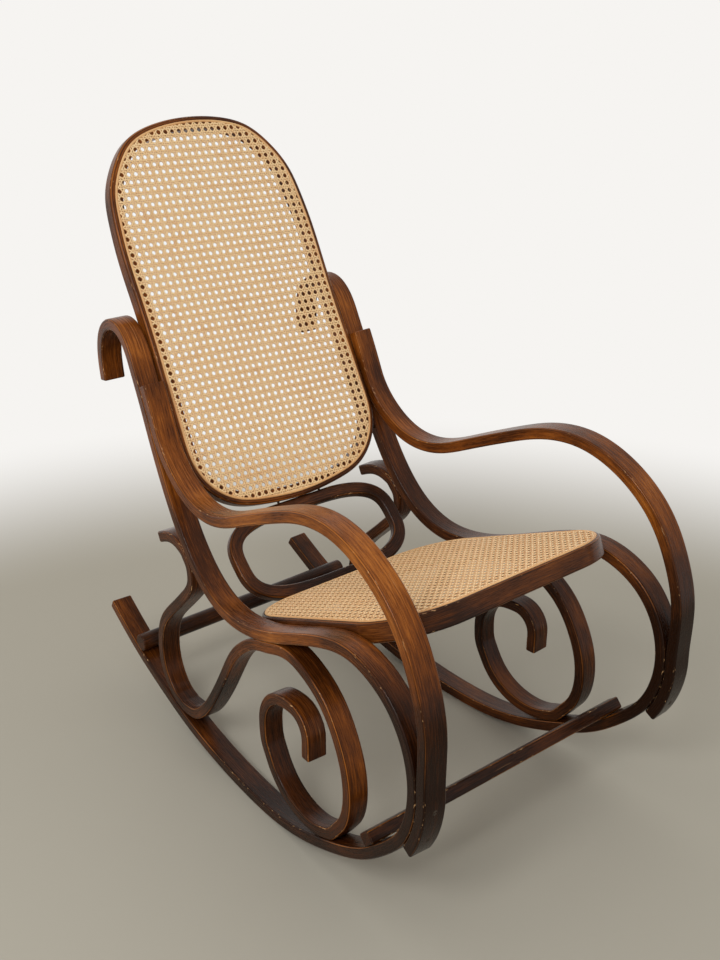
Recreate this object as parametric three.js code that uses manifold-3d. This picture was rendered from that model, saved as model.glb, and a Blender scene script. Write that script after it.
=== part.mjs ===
// A bentwood rocking chair: two side frames of bent strips, a caned seat and a caned back.
// Millimetres. X runs across the chair, the sitter faces -Y, and the floor is the plane Z = 0.
import * as THREE from 'three';
import { mergeVertices } from 'three/addons/utils/BufferGeometryUtils.js';
import Module from 'manifold-3d';

const wasm = await Module();
wasm.setup();

// Size of the side frames
const outlineDepth = 1000;
const outlineHeight = 1000;
const frameWidth = 550;
const splaySlopeShare = 0.051;
const seatingGap = 0.4;
const holeGap = 0.3;
const cutOverrun = 3;

// Bent strips of the side frames
const stripWidth = 42;
const stripThickness = 21;
const scrollWidth = 38;
const sweepStep = 18;
const lineDivisions = 1200;

// Seat ring, cane and spline
const seatRise = 8.5;
const seatRearReach = 262;
const seatFrontReach = 237;
const seatRearRadius = 112;
const seatFrontRadius = 115;
const seatThickness = 34;
const seatRingWidth = 46;
const seatRimWidth = 5;

// Back ring, cane and spline
const backProud = 13.2;
const backHeight = 742;
const backDrop = 104;
const backThickness = 30;
const backRingWidth = 25;
const backRimWidth = 9;

// Groove, spline and cane, alike on the seat and the back
const splineWidth = 5;
const grooveDepth = 5;
const splineProud = 1.2;
const caneThickness = 1.6;
const canePitch = 40;
const caneOpening = 25;
const ringRounding = 4;
const arcSteps = 10;
const outlineSteps = 72;

// Hoop between the seat and the back
const hoopWidth = 380;
const hoopStripWidth = 26;
const hoopDepth = 20;
const hoopFootSetback = 12.5;
const hoopFootDrop = 2;
const hoopHeadDrop = 13;
const hoopHeadSetback = 20;
const hoopSteps = 64;
const hoopTopPower = 3.2;
const hoopBottomPower = 3;
const hoopRounding = 4;

// Cross rails
const dowelDiameter = 34;
const dowelSides = 20;
const stretcherWidth = 28;
const stretcherThickness = 22;

// Screws and bolts
const screw = { headRadius: 4.5, headHeight: 3, shankRadius: 2.5, recess: 1.2, sides: 10 };
const bolt = { headRadius: 6.5, headHeight: 4, shankRadius: 3.2, recess: 1, sides: 10 };
const screwBite = 15;
const boltBite = 24;

// Outline of the frame bend, from the curl behind the back, down the post, along the seat rail,
// round the front loop and back along the runner: [depth share, height share]
const bendShares = [
  [0.512, 0.662], [0.517, 0.712], [0.505, 0.755], [0.473, 0.781], [0.440, 0.782], [0.408, 0.759],
  [0.385, 0.720], [0.361, 0.672], [0.330, 0.604], [0.279, 0.506], [0.227, 0.432], [0.173, 0.384],
  [0.105, 0.358], [0.009, 0.365], [-0.080, 0.398], [-0.196, 0.450], [-0.267, 0.467], [-0.325, 0.458],
  [-0.376, 0.430], [-0.412, 0.384], [-0.429, 0.325], [-0.426, 0.270], [-0.404, 0.213], [-0.362, 0.163],
  [-0.308, 0.116], [-0.219, 0.067], [-0.127, 0.032], [-0.040, 0.0145], [0.045, 0.0108], [0.110, 0.0132],
  [0.181, 0.0200], [0.270, 0.036], [0.365, 0.064], [0.461, 0.100], [0.568, 0.156],
];

// Free stretch of the arm, between its seats on the post and on the front loop
const armShares = [
  [0.258, 0.555], [0.194, 0.526], [0.125, 0.527], [0.034, 0.563], [-0.066, 0.610], [-0.143, 0.640],
  [-0.226, 0.650], [-0.317, 0.623], [-0.391, 0.562], [-0.427, 0.499], [-0.449, 0.425],
];

// Free stretches of the scroll, between its four seats on the frame bend
const scrollTailShares = [
  [0.331, 0.409], [0.315, 0.4165], [0.299, 0.4225], [0.284, 0.425], [0.268, 0.4245], [0.253, 0.4205],
];
const scrollRearShares = [
  [0.223, 0.394], [0.220, 0.384], [0.219, 0.372], [0.221, 0.358], [0.231, 0.340], [0.252, 0.317],
  [0.278, 0.291], [0.308, 0.262],
  [0.330, 0.238], [0.346, 0.212], [0.355, 0.180], [0.357, 0.148], [0.350, 0.115], [0.335, 0.090],
];
const scrollRiseShares = [
  [0.270, 0.062], [0.240, 0.068], [0.212, 0.086], [0.185, 0.114], [0.160, 0.148], [0.130, 0.195],
  [0.102, 0.243], [0.070, 0.290], [0.036, 0.322], [0.011, 0.339],
];
const scrollFrontShares = [
  [-0.085, 0.373], [-0.115, 0.374], [-0.150, 0.365], [-0.185, 0.348], [-0.215, 0.322],
  [-0.240, 0.285], [-0.257, 0.245], [-0.264, 0.205], [-0.262, 0.170], [-0.250, 0.135], [-0.232, 0.110],
];
const scrollCurlShares = [
  [-0.155, 0.069], [-0.130, 0.069], [-0.100, 0.075], [-0.072, 0.088], [-0.043, 0.115], [-0.029, 0.137],
  [-0.018, 0.160], [-0.015, 0.185], [-0.016, 0.210], [-0.025, 0.235], [-0.042, 0.256], [-0.066, 0.270],
  [-0.092, 0.275], [-0.118, 0.274], [-0.137, 0.262], [-0.147, 0.243], [-0.148, 0.220], [-0.148, 0.198],
];

// Places on the frame bend, given by the outline point that each is nearest to
const postSeatShares = { from: [0.370, 0.691], to: [0.332, 0.605] };
const loopSeatShares = { from: [-0.430, 0.322], to: [-0.403, 0.211] };
const scrollPostShares = { from: [0.223, 0.428], to: [0.213, 0.417] };
const scrollRunnerRearShares = { from: [0.312, 0.048], to: [0.290, 0.042] };
const scrollRailShares = { from: [-0.010, 0.371], to: [-0.045, 0.383] };
const scrollRunnerFrontShares = { from: [-0.218, 0.067], to: [-0.195, 0.057] };
const railStraightShares = { from: [-0.080, 0.398], to: [-0.196, 0.450] };
const postStraightShares = { from: [0.330, 0.604], to: [0.258, 0.474] };
const dowelShares = [0.455, 0.098];
const stretcherShares = [-0.334, 0.140];
const seatBoltShares = [[-0.010, 0.372], [-0.225, 0.460]];
const backBoltShares = [[0.287, 0.520], [0.352, 0.650]];

// Half outline of the back ring, from its bottom to its top: [share of half width, share of height]
const backOutlineShares = [
  [0, 0], [0.372, 0.009], [0.665, 0.031], [0.888, 0.085], [0.990, 0.155], [1, 0.233], [0.993, 0.327],
  [0.981, 0.434], [0.978, 0.569], [0.977, 0.690], [0.958, 0.763], [0.912, 0.837], [0.790, 0.905],
  [0.609, 0.960], [0.326, 0.991], [0, 1],
];
// Where the back ring's sides pass closest to the side frames: share of depth, and of its half width
const backSideShares = { depth: 0.427, across: 0.979 };

// Colours of the finishes
const walnutStain = 0x4a2615;
const walnutStainPale = 0x5d3520;
const caneColour = 0xd9b384;
const splineColour = 0xc89b63;
const steelColour = 0x2b211b;

const chair = new THREE.Group();
const pieces = new Map();

// A smooth line through points in the YZ plane: a cubic spline whose ends carry no bend.
class BentLine extends THREE.Curve {
  constructor(points, across = 0) {
    super();
    this.points = points;
    this.across = across;
    this.arcLengthDivisions = lineDivisions;
    this.knots = [0];
    for (let i = 1; i < points.length; i += 1) {
      this.knots.push(this.knots[i - 1] + points[i].distanceTo(points[i - 1]));
    }
    this.bends = this.solveBends();
  }

  // Second derivatives at the points, by elimination down the list and back up.
  solveBends() {
    const { points, knots } = this;
    const last = points.length - 1;
    const carry = [0];
    const bends = [new THREE.Vector2()];
    for (let i = 1; i < last; i += 1) {
      const before = knots[i] - knots[i - 1];
      const after = knots[i + 1] - knots[i];
      const pivot = 2 * (before + after) - before * carry[i - 1];
      const slopeAfter = points[i + 1].clone().sub(points[i]).divideScalar(after);
      const slopeBefore = points[i].clone().sub(points[i - 1]).divideScalar(before);
      carry.push(after / pivot);
      const turn = slopeAfter.sub(slopeBefore).multiplyScalar(6);
      bends.push(turn.sub(bends[i - 1].clone().multiplyScalar(before)).divideScalar(pivot));
    }
    bends.push(new THREE.Vector2());
    for (let i = last - 1; i > 0; i -= 1) bends[i].sub(bends[i + 1].clone().multiplyScalar(carry[i]));
    return bends;
  }

  getPoint(t, target = new THREE.Vector3()) {
    const { points, knots, bends } = this;
    const reach = t * knots[knots.length - 1];
    let i = 0;
    while (i < points.length - 2 && reach > knots[i + 1]) i += 1;
    const span = knots[i + 1] - knots[i];
    const a = (knots[i + 1] - reach) / span;
    const b = 1 - a;
    const bendA = ((a ** 3 - a) * span ** 2) / 6;
    const bendB = ((b ** 3 - b) * span ** 2) / 6;
    const flat = points[i].clone().multiplyScalar(a).addScaledVector(points[i + 1], b);
    flat.addScaledVector(bends[i], bendA).addScaledVector(bends[i + 1], bendB);
    return target.set(this.across, flat.x, flat.y);
  }
}

const sidePoint = ([depthShare, heightShare]) =>
  new THREE.Vector2(depthShare * outlineDepth, heightShare * outlineHeight);

const bendLine = new BentLine(bendShares.map(sidePoint));

// Share of the frame bend's length at the place nearest to an outline point.
function stationNear(shares) {
  const wanted = sidePoint(shares);
  let best = { station: 0, distance: Infinity };
  for (let i = 0; i <= lineDivisions; i += 1) {
    const station = i / lineDivisions;
    const point = bendLine.getPointAt(station);
    const distance = Math.hypot(point.y - wanted.x, point.z - wanted.y);
    if (distance < best.distance) best = { station, distance };
  }
  return best.station;
}

// Centre, direction and outward normal of the frame bend: in front of the post, above the rail,
// in front of the loop and below the runner.
function bendAt(station) {
  const point = bendLine.getPointAt(station);
  const tangent = bendLine.getTangentAt(station);
  return {
    centre: new THREE.Vector2(point.y, point.z),
    along: new THREE.Vector2(tangent.y, tangent.z),
    outward: new THREE.Vector2(tangent.z, -tangent.y),
  };
}

// Centres of a strip that lies on the frame bend between two places, on its outer or inner side.
function seatedPoints(stretch, side, count = 5) {
  const from = stationNear(stretch.from);
  const to = stationNear(stretch.to);
  const offset = side * (stripThickness + seatingGap);
  return Array.from({ length: count }, (_, i) => {
    const at = bendAt(THREE.MathUtils.lerp(from, to, i / (count - 1)));
    return at.centre.addScaledVector(at.outward, offset);
  });
}

const outerSide = 1;
const innerSide = -1;

const armPoints = [
  ...seatedPoints(postSeatShares, outerSide),
  ...armShares.map(sidePoint),
  ...seatedPoints(loopSeatShares, outerSide, 7),
];

const scrollPoints = [
  ...scrollTailShares.map(sidePoint),
  ...seatedPoints(scrollPostShares, innerSide),
  ...scrollRearShares.map(sidePoint),
  ...seatedPoints(scrollRunnerRearShares, innerSide),
  ...scrollRiseShares.map(sidePoint),
  ...seatedPoints(scrollRailShares, innerSide),
  ...scrollFrontShares.map(sidePoint),
  ...seatedPoints(scrollRunnerFrontShares, innerSide),
  ...scrollCurlShares.map(sidePoint),
];

const walnut = () => new THREE.MeshStandardMaterial({ color: walnutStain, roughness: 0.38, metalness: 0 });
const walnutPale = () =>
  new THREE.MeshStandardMaterial({ color: walnutStainPale, roughness: 0.4, metalness: 0 });
const cane = () => new THREE.MeshStandardMaterial({ color: caneColour, roughness: 0.62, metalness: 0 });
const caneSpline = () =>
  new THREE.MeshStandardMaterial({ color: splineColour, roughness: 0.5, metalness: 0 });
const darkSteel = () =>
  new THREE.MeshStandardMaterial({ color: steelColour, roughness: 0.45, metalness: 0.8 });

// Closed solid of a geometry, with its shared corners merged.
function solidOf(geometry) {
  const bare = geometry.clone();
  bare.deleteAttribute('normal');
  bare.deleteAttribute('uv');
  const merged = mergeVertices(bare);
  return new wasm.Manifold(new wasm.Mesh({
    numProp: 3,
    vertProperties: new Float32Array(merged.attributes.position.array),
    triVerts: new Uint32Array(merged.index.array),
  }));
}

function geometryOf(solid) {
  const { vertProperties, triVerts } = solid.getMesh();
  const indexed = new THREE.BufferGeometry();
  indexed.setAttribute('position', new THREE.BufferAttribute(new Float32Array(vertProperties), 3));
  indexed.setIndex(new THREE.BufferAttribute(new Uint32Array(triVerts), 1));
  const geometry = indexed.toNonIndexed();
  geometry.computeVertexNormals();
  return geometry;
}

function addPiece(name, frame, geometry, material) {
  pieces.set(name, { frame, material, solid: solidOf(geometry) });
}

function cutPiece(name, geometry, frame) {
  const piece = pieces.get(name);
  const intoPiece = piece.frame.matrixWorld.clone().invert().multiply(frame.matrixWorld);
  piece.solid = piece.solid.subtract(solidOf(geometry.clone().applyMatrix4(intoPiece)));
}

function rectangle(width, height) {
  const shape = new THREE.Shape();
  shape.moveTo(-width / 2, -height / 2);
  shape.lineTo(width / 2, -height / 2);
  shape.lineTo(width / 2, height / 2);
  shape.lineTo(-width / 2, height / 2);
  shape.closePath();
  return shape;
}

// A strip of one width and thickness, bent along a line.
function bentStrip(points, across, width) {
  const line = new BentLine(points, across);
  const steps = Math.round(line.getLength() / sweepStep);
  return new THREE.ExtrudeGeometry(rectangle(width, stripThickness), { steps, extrudePath: line });
}

// Frames that carry the pieces. Each side frame is a flat plane that turns outward to the front.
const splay = Math.atan(splaySlopeShare);
const sides = [
  { name: 'right', sign: -1, frame: new THREE.Group() },
  { name: 'left', sign: 1, frame: new THREE.Group() },
];

function placeSides() {
  for (const side of sides) {
    side.frame.position.set((side.sign * frameWidth) / 2, 0, 0);
    side.frame.rotation.z = side.sign * splay;
    chair.add(side.frame);
  }
  chair.updateMatrixWorld(true);
}
placeSides();

// Half of the clear width between the inner faces of the side frames, at a depth.
const clearHalfWidthAt = (depth) =>
  frameWidth / 2 - stripWidth / Math.cos(splay) - splaySlopeShare * depth;

// The back fills the clear width beside the curls of the posts.
const backWidth =
  (2 * (clearHalfWidthAt(backSideShares.depth * outlineDepth) - seatingGap)) / backSideShares.across;

// Depth and height in the chair of a point of the bend, lifted along its outward normal.
function inChair(station, lift) {
  const at = bendAt(station);
  const flat = at.centre.addScaledVector(at.outward, lift);
  const across = -sides[1].sign * (stripWidth / 2);
  const point = sides[1].frame.localToWorld(new THREE.Vector3(across, flat.x, flat.y));
  return new THREE.Vector2(point.y, point.z);
}

// A frame whose local Y runs from one place on the bend towards another, and whose local Z stands
// out of the bend's outer side.
function frameOnBend(stretch, lift) {
  const from = inChair(stationNear(stretch.from), lift);
  const to = inChair(stationNear(stretch.to), lift);
  const middle = from.clone().add(to).divideScalar(2);
  const frame = new THREE.Group();
  frame.position.set(0, middle.x, middle.y);
  frame.rotation.x = Math.atan2(from.y - to.y, from.x - to.x);
  chair.add(frame);
  chair.updateMatrixWorld(true);
  return frame;
}

const seatFrame = frameOnBend(railStraightShares, stripThickness / 2 + seatRise);
const backFrame = frameOnBend(postStraightShares, stripThickness / 2 + backProud);

const shapeOf = (outline) => new THREE.Shape(outline.map((point) => point.clone()));

// The outline moved square to itself, outward or inward.
function offsetOutline(outline, distance) {
  return outline.map((point, i) => {
    const before = outline[(i + outline.length - 1) % outline.length];
    const after = outline[(i + 1) % outline.length];
    const along = after.clone().sub(before).normalize();
    return new THREE.Vector2(point.x + along.y * distance, point.y - along.x * distance);
  });
}

function ringShape(outline, outerInset, innerInset) {
  const shape = shapeOf(offsetOutline(outline, -outerInset));
  shape.holes.push(new THREE.Path(offsetOutline(outline, -innerInset).reverse()));
  return shape;
}

// Corners joined by straight sides and rounded by arcs.
function roundedOutline(corners) {
  const outline = [];
  corners.forEach(({ point, radius }, i) => {
    const toBefore = corners[(i + corners.length - 1) % corners.length].point.clone().sub(point).normalize();
    const toAfter = corners[(i + 1) % corners.length].point.clone().sub(point).normalize();
    const half = toBefore.angleTo(toAfter) / 2;
    const bisector = toBefore.clone().add(toAfter).normalize();
    const centre = point.clone().addScaledVector(bisector, radius / Math.sin(half));
    const start = point.clone().addScaledVector(toBefore, radius / Math.tan(half)).sub(centre);
    const turn = Math.PI - 2 * half;
    for (let step = 0; step <= arcSteps; step += 1) {
      const spoke = start.clone().rotateAround(new THREE.Vector2(), (turn * step) / arcSteps);
      outline.push(centre.clone().add(spoke));
    }
  });
  return outline;
}

// Seat outline, anticlockwise from above, with its sides against the side frames.
function seatOutline() {
  const edge = (sign, reach) => {
    const depth = seatFrame.localToWorld(new THREE.Vector3(0, reach, 0)).y;
    return new THREE.Vector2(sign * (clearHalfWidthAt(depth) - seatingGap), reach);
  };
  return roundedOutline([
    { point: edge(-1, -seatFrontReach), radius: seatFrontRadius },
    { point: edge(1, -seatFrontReach), radius: seatFrontRadius },
    { point: edge(1, seatRearReach), radius: seatRearRadius },
    { point: edge(-1, seatRearReach), radius: seatRearRadius },
  ]);
}

// Back outline, anticlockwise from the front: the half outline, mirrored and made smooth.
function backOutline() {
  const half = backOutlineShares.map(([across, up]) =>
    new THREE.Vector2((across * backWidth) / 2, up * backHeight - backDrop));
  const mirrored = half.slice(1, -1).reverse().map((point) => new THREE.Vector2(-point.x, point.y));
  const round = [...half, ...mirrored];
  const lap = 4;
  const line = new BentLine([...round.slice(-lap), ...round, ...round.slice(0, lap)]);
  const total = line.knots[line.knots.length - 1];
  const start = line.knots[lap];
  const end = line.knots[lap + round.length];
  return Array.from({ length: outlineSteps }, (_, i) => {
    const reach = THREE.MathUtils.lerp(start, end, i / outlineSteps);
    const point = line.getPoint(reach / total);
    return new THREE.Vector2(point.y, point.z);
  });
}

// A point is inside an outline when a level line from it crosses the outline an odd number of times.
function isInside(outline, point) {
  let inside = false;
  outline.forEach((start, i) => {
    const end = outline[(i + 1) % outline.length];
    if (start.y > point.y === end.y > point.y) return;
    const crossing = start.x + ((end.x - start.x) * (point.y - start.y)) / (end.y - start.y);
    if (point.x < crossing) inside = !inside;
  });
  return inside;
}

// The cane's openings: a plain square grid, wherever a whole opening fits inside the ring.
function caneOpenings(outline) {
  const box = new THREE.Box2().setFromPoints(outline);
  const size = box.getSize(new THREE.Vector2());
  const middle = box.getCenter(new THREE.Vector2());
  const across = Math.floor(size.x / canePitch);
  const up = Math.floor(size.y / canePitch);
  const corners = [[-1, -1], [-1, 1], [1, 1], [1, -1]];
  const openings = [];
  for (let i = 0; i < across; i += 1) {
    for (let j = 0; j < up; j += 1) {
      const place = new THREE.Vector2(i - (across - 1) / 2, j - (up - 1) / 2);
      const centre = place.multiplyScalar(canePitch).add(middle);
      const opening = corners.map(([x, y]) =>
        new THREE.Vector2(x, y).multiplyScalar(caneOpening / 2).add(centre));
      if (opening.every((corner) => isInside(outline, corner))) openings.push(opening);
    }
  }
  return openings;
}

// A caned ring: the wood with its groove, the cane sheet, and the spline that holds it.
function addCanedRing(name, frame, outline, { thickness, ringWidth, rimWidth, wood }) {
  const ring = new THREE.ExtrudeGeometry(ringShape(outline, ringRounding, ringWidth - ringRounding), {
    depth: thickness - 2 * ringRounding,
    bevelThickness: ringRounding,
    bevelSize: ringRounding,
    bevelSegments: 1,
  });
  addPiece(`${name}_ring`, frame, ring.translate(0, 0, ringRounding - thickness), wood);
  const grooveOuter = rimWidth;
  const grooveInner = rimWidth + splineWidth;
  const groove = new THREE.ExtrudeGeometry(ringShape(outline, grooveOuter, grooveInner), {
    depth: grooveDepth + cutOverrun,
    bevelEnabled: false,
  });
  cutPiece(`${name}_ring`, groove.translate(0, 0, -grooveDepth), frame);
  const spline = new THREE.ExtrudeGeometry(
    ringShape(outline, grooveOuter + holeGap, grooveInner - holeGap),
    { depth: grooveDepth - holeGap + splineProud, bevelEnabled: false },
  );
  addPiece(`${name}_spline`, frame, spline.translate(0, 0, holeGap - grooveDepth), caneSpline());
  const sheet = new THREE.ExtrudeGeometry(shapeOf(offsetOutline(outline, -grooveInner)), {
    depth: caneThickness,
    bevelEnabled: false,
  });
  addPiece(`${name}_cane`, frame, sheet.translate(0, 0, holeGap), cane());
  const openings = caneOpenings(offsetOutline(outline, -ringWidth)).map(shapeOf);
  const weave = new THREE.ExtrudeGeometry(openings, {
    depth: caneThickness + 2 * cutOverrun,
    bevelEnabled: false,
  });
  cutPiece(`${name}_cane`, weave.translate(0, 0, -cutOverrun), frame);
}

// Middle lines of the hoop's foot and head, from the seat's rear edge and the back's bottom edge.
const hoopFoot = seatFrame.localToWorld(
  new THREE.Vector3(0, seatRearReach + hoopFootSetback, -hoopFootDrop),
);
const hoopHead = backFrame.localToWorld(new THREE.Vector3(0, -backDrop - hoopHeadDrop, -hoopHeadSetback));

function placeHoopFrame() {
  const frame = new THREE.Group();
  frame.position.copy(hoopFoot).add(hoopHead).divideScalar(2);
  frame.rotation.x = Math.atan2(hoopHead.z - hoopFoot.z, hoopHead.y - hoopFoot.y);
  chair.add(frame);
  chair.updateMatrixWorld(true);
  return frame;
}
const hoopFrame = placeHoopFrame();

// Middle line of the hoop: an oval whose bottom is flatter than its top.
function hoopOutline() {
  const halfWidth = (hoopWidth - hoopStripWidth) / 2;
  const halfHeight = hoopFoot.distanceTo(hoopHead) / 2;
  return Array.from({ length: hoopSteps }, (_, i) => {
    const angle = (2 * Math.PI * i) / hoopSteps;
    const power = 2 / (Math.sin(angle) > 0 ? hoopTopPower : hoopBottomPower);
    const across = Math.sign(Math.cos(angle)) * Math.abs(Math.cos(angle)) ** power;
    const up = Math.sign(Math.sin(angle)) * Math.abs(Math.sin(angle)) ** power;
    return new THREE.Vector2(halfWidth * across, halfHeight * up);
  });
}

// The hoop, planed flat where it bears on the seat and under the back.
function addHoop() {
  const edgeInset = hoopStripWidth / 2 - hoopRounding;
  const ring = new THREE.ExtrudeGeometry(ringShape(hoopOutline(), -edgeInset, edgeInset), {
    depth: hoopDepth - 2 * hoopRounding,
    bevelThickness: hoopRounding,
    bevelSize: hoopRounding,
    bevelSegments: 1,
  });
  addPiece('back_hoop', hoopFrame, ring.translate(0, 0, hoopRounding - hoopDepth / 2), walnut());
  const block = new THREE.BoxGeometry(hoopWidth, seatRearReach, 2 * seatThickness + backHeight);
  cutPiece('back_hoop', block.clone().translate(0, seatRearReach / 2 + seatingGap, 0), seatFrame);
  const raised = block.clone().translate(0, seatRearReach / 2 - backDrop - seatingGap, 0);
  cutPiece('back_hoop', raised, backFrame);
}

function addSidePieces() {
  for (const { name, sign, frame } of sides) {
    const bendAcross = -sign * (stripWidth / 2);
    const bend = bentStrip(bendShares.map(sidePoint), bendAcross, stripWidth);
    addPiece(`${name}_frame_bend`, frame, bend, walnut());
    addPiece(`${name}_arm`, frame, bentStrip(armPoints, bendAcross, stripWidth), walnutPale());
    addPiece(`${name}_scroll`, frame, bentStrip(scrollPoints, bendAcross, scrollWidth), walnut());
  }
}

// Full length of a rail across both side frames at a depth, flush with their outer faces.
const flushLengthAt = (depth) => frameWidth - 2 * splaySlopeShare * depth;

function addCrossRail(name, shares, thickness, geometryAt) {
  const station = stationNear(shares);
  const at = bendAt(station);
  const splayLift = (stripWidth / 2) * splaySlopeShare * Math.abs(at.outward.x);
  const lift = -(stripThickness / 2 + seatingGap + splayLift + thickness / 2);
  const centre = inChair(station, lift);
  const frame = new THREE.Group();
  frame.position.set(0, centre.x, centre.y);
  frame.rotation.x = Math.atan2(at.along.y, at.along.x);
  chair.add(frame);
  chair.updateMatrixWorld(true);
  addPiece(name, frame, geometryAt(flushLengthAt(centre.x)), walnut());
}

const dowelGeometry = (length) =>
  new THREE.CylinderGeometry(dowelDiameter / 2, dowelDiameter / 2, length, dowelSides).rotateZ(Math.PI / 2);
const stretcherGeometry = (length) => new THREE.BoxGeometry(length, stretcherWidth, stretcherThickness);

// Turned profile of a fastener, from its head down; grown by a clearance it is the hole's profile.
function fastenerGeometry(kind, length, gap, reachOut) {
  const top = gap > 0 ? -reachOut : kind.recess;
  const ledge = kind.recess + kind.headHeight + gap;
  const profile = [
    [0, top], [kind.headRadius + gap, top], [kind.headRadius + gap, ledge],
    [kind.shankRadius + gap, ledge], [kind.shankRadius + gap, length + gap], [0, length + gap],
  ];
  return new THREE.LatheGeometry(profile.map(([x, y]) => new THREE.Vector2(x, y)), kind.sides);
}

// Drives a fastener from a surface point along a direction, and bores the pieces that it joins.
function addFastener(name, kind, frame, start, direction, length, joined) {
  const turn = new THREE.Quaternion().setFromUnitVectors(new THREE.Vector3(0, 1, 0), direction);
  const pose = new THREE.Matrix4().compose(start, turn, new THREE.Vector3(1, 1, 1));
  const hole = fastenerGeometry(kind, length, holeGap, cutOverrun).applyMatrix4(pose);
  for (const piece of joined) cutPiece(piece, hole, frame);
  addPiece(name, frame, fastenerGeometry(kind, length, 0, 0).applyMatrix4(pose), darkSteel());
}

const inPlane = (across, flat) => new THREE.Vector3(across, flat.x, flat.y);

// A screw square to the bend at a share of a seat, from the seated strip or from the bend itself.
function addSeatedScrew(side, label, stretch, share, surface, joined) {
  const from = stationNear(stretch.from);
  const at = bendAt(THREE.MathUtils.lerp(from, stationNear(stretch.to), share));
  const seated = surface * (stripThickness * 1.5 + seatingGap);
  const start = inPlane(-side.sign * (stripWidth / 2), at.centre.addScaledVector(at.outward, seated));
  const direction = inPlane(0, at.outward.multiplyScalar(-surface));
  const length = stripThickness + seatingGap + screwBite;
  addFastener(`${side.name}_${label}`, screw, side.frame, start, direction, length, joined);
}

function addSideScrews(side) {
  const bend = `${side.name}_frame_bend`;
  const arm = `${side.name}_arm`;
  const scroll = `${side.name}_scroll`;
  const scrollSeats = { post: scrollPostShares, rail: scrollRailShares };
  scrollSeats.front_runner = scrollRunnerFrontShares;
  scrollSeats.rear_runner = scrollRunnerRearShares;
  [0.25, 0.75].forEach((share, i) =>
    addSeatedScrew(side, `arm_post_screw_${i + 1}`, postSeatShares, share, outerSide, [arm, bend]));
  [0.26, 0.7].forEach((share, i) =>
    addSeatedScrew(side, `arm_loop_screw_${i + 1}`, loopSeatShares, share, outerSide, [arm, bend]));
  for (const [label, seat] of Object.entries(scrollSeats)) {
    addSeatedScrew(side, `scroll_${label}_screw`, seat, 0.5, innerSide, [scroll, bend]);
  }
}

// Screws that rise through a runner or loop into a cross rail.
function addCrossRailScrew(side, name, shares, rail) {
  const at = bendAt(stationNear(shares));
  const flat = at.centre.addScaledVector(at.outward, stripThickness / 2);
  const start = inPlane(-side.sign * (stripWidth / 2), flat);
  const direction = inPlane(0, at.outward.multiplyScalar(-1));
  const length = stripThickness + screwBite;
  addFastener(name, screw, side.frame, start, direction, length, [`${side.name}_frame_bend`, rail]);
}

// Bolts that pass across a side strip into the seat ring or the back ring.
function addAcrossBolt(side, name, shares, lift, ring) {
  const at = bendAt(stationNear(shares));
  const start = inPlane(0, at.centre.addScaledVector(at.outward, lift));
  const direction = new THREE.Vector3(-side.sign, 0, 0);
  const length = stripWidth + boltBite - cutOverrun;
  addFastener(name, bolt, side.frame, start, direction, length, [`${side.name}_frame_bend`, ring]);
}

function addHoopScrews() {
  const footReach = hoopDepth / 2 + hoopFootSetback;
  for (const { name, sign } of sides) {
    const footLevel = -hoopFootDrop - hoopStripWidth / 4;
    const footStart = new THREE.Vector3(sign * (hoopWidth / 6), seatRearReach + footReach, footLevel);
    const intoSeat = new THREE.Vector3(0, -1, 0);
    const footLength = footReach + screwBite;
    addFastener(`${name}_hoop_seat_screw`, screw, seatFrame, footStart, intoSeat, footLength,
      ['back_hoop', 'seat_ring']);
    const headReach = -backDrop - hoopHeadDrop - hoopStripWidth / 2;
    const headStart = new THREE.Vector3(sign * (hoopWidth / 8), headReach, -hoopHeadSetback);
    const headLength = hoopStripWidth + screwBite;
    addFastener(`${name}_hoop_back_screw`, screw, backFrame, headStart, new THREE.Vector3(0, 1, 0),
      headLength, ['back_hoop', 'back_ring']);
  }
}

function addFasteners() {
  const boltInset = (stripThickness / 2 + backProud - backThickness) / 2 + stripThickness / 4;
  for (const side of sides) {
    addSideScrews(side);
    addCrossRailScrew(side, `${side.name}_dowel_screw`, dowelShares, 'rear_dowel');
    addCrossRailScrew(side, `${side.name}_stretcher_screw`, stretcherShares, 'front_stretcher');
    seatBoltShares.forEach((shares, i) =>
      addAcrossBolt(side, `${side.name}_seat_bolt_${i + 1}`, shares, 0, 'seat_ring'));
    backBoltShares.forEach((shares, i) =>
      addAcrossBolt(side, `${side.name}_back_bolt_${i + 1}`, shares, boltInset, 'back_ring'));
  }
  addHoopScrews();
}

addSidePieces();
addCrossRail('rear_dowel', dowelShares, dowelDiameter, dowelGeometry);
addCrossRail('front_stretcher', stretcherShares, stretcherThickness, stretcherGeometry);
addCanedRing('seat', seatFrame, seatOutline(), {
  thickness: seatThickness,
  ringWidth: seatRingWidth,
  rimWidth: seatRimWidth,
  wood: walnut(),
});
addCanedRing('back', backFrame, backOutline(), {
  thickness: backThickness,
  ringWidth: backRingWidth,
  rimWidth: backRimWidth,
  wood: walnutPale(),
});
addHoop();
addFasteners();

for (const [name, { frame, material, solid }] of pieces) {
  const mesh = new THREE.Mesh(geometryOf(solid), material);
  mesh.name = name;
  frame.add(mesh);
}

// The origin is on the floor, under the middle of the whole chair.
const reach = new THREE.Box3().setFromObject(chair, true);
chair.position.set(0, -(reach.min.y + reach.max.y) / 2, -reach.min.z);

export default chair;
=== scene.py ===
import math

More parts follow.
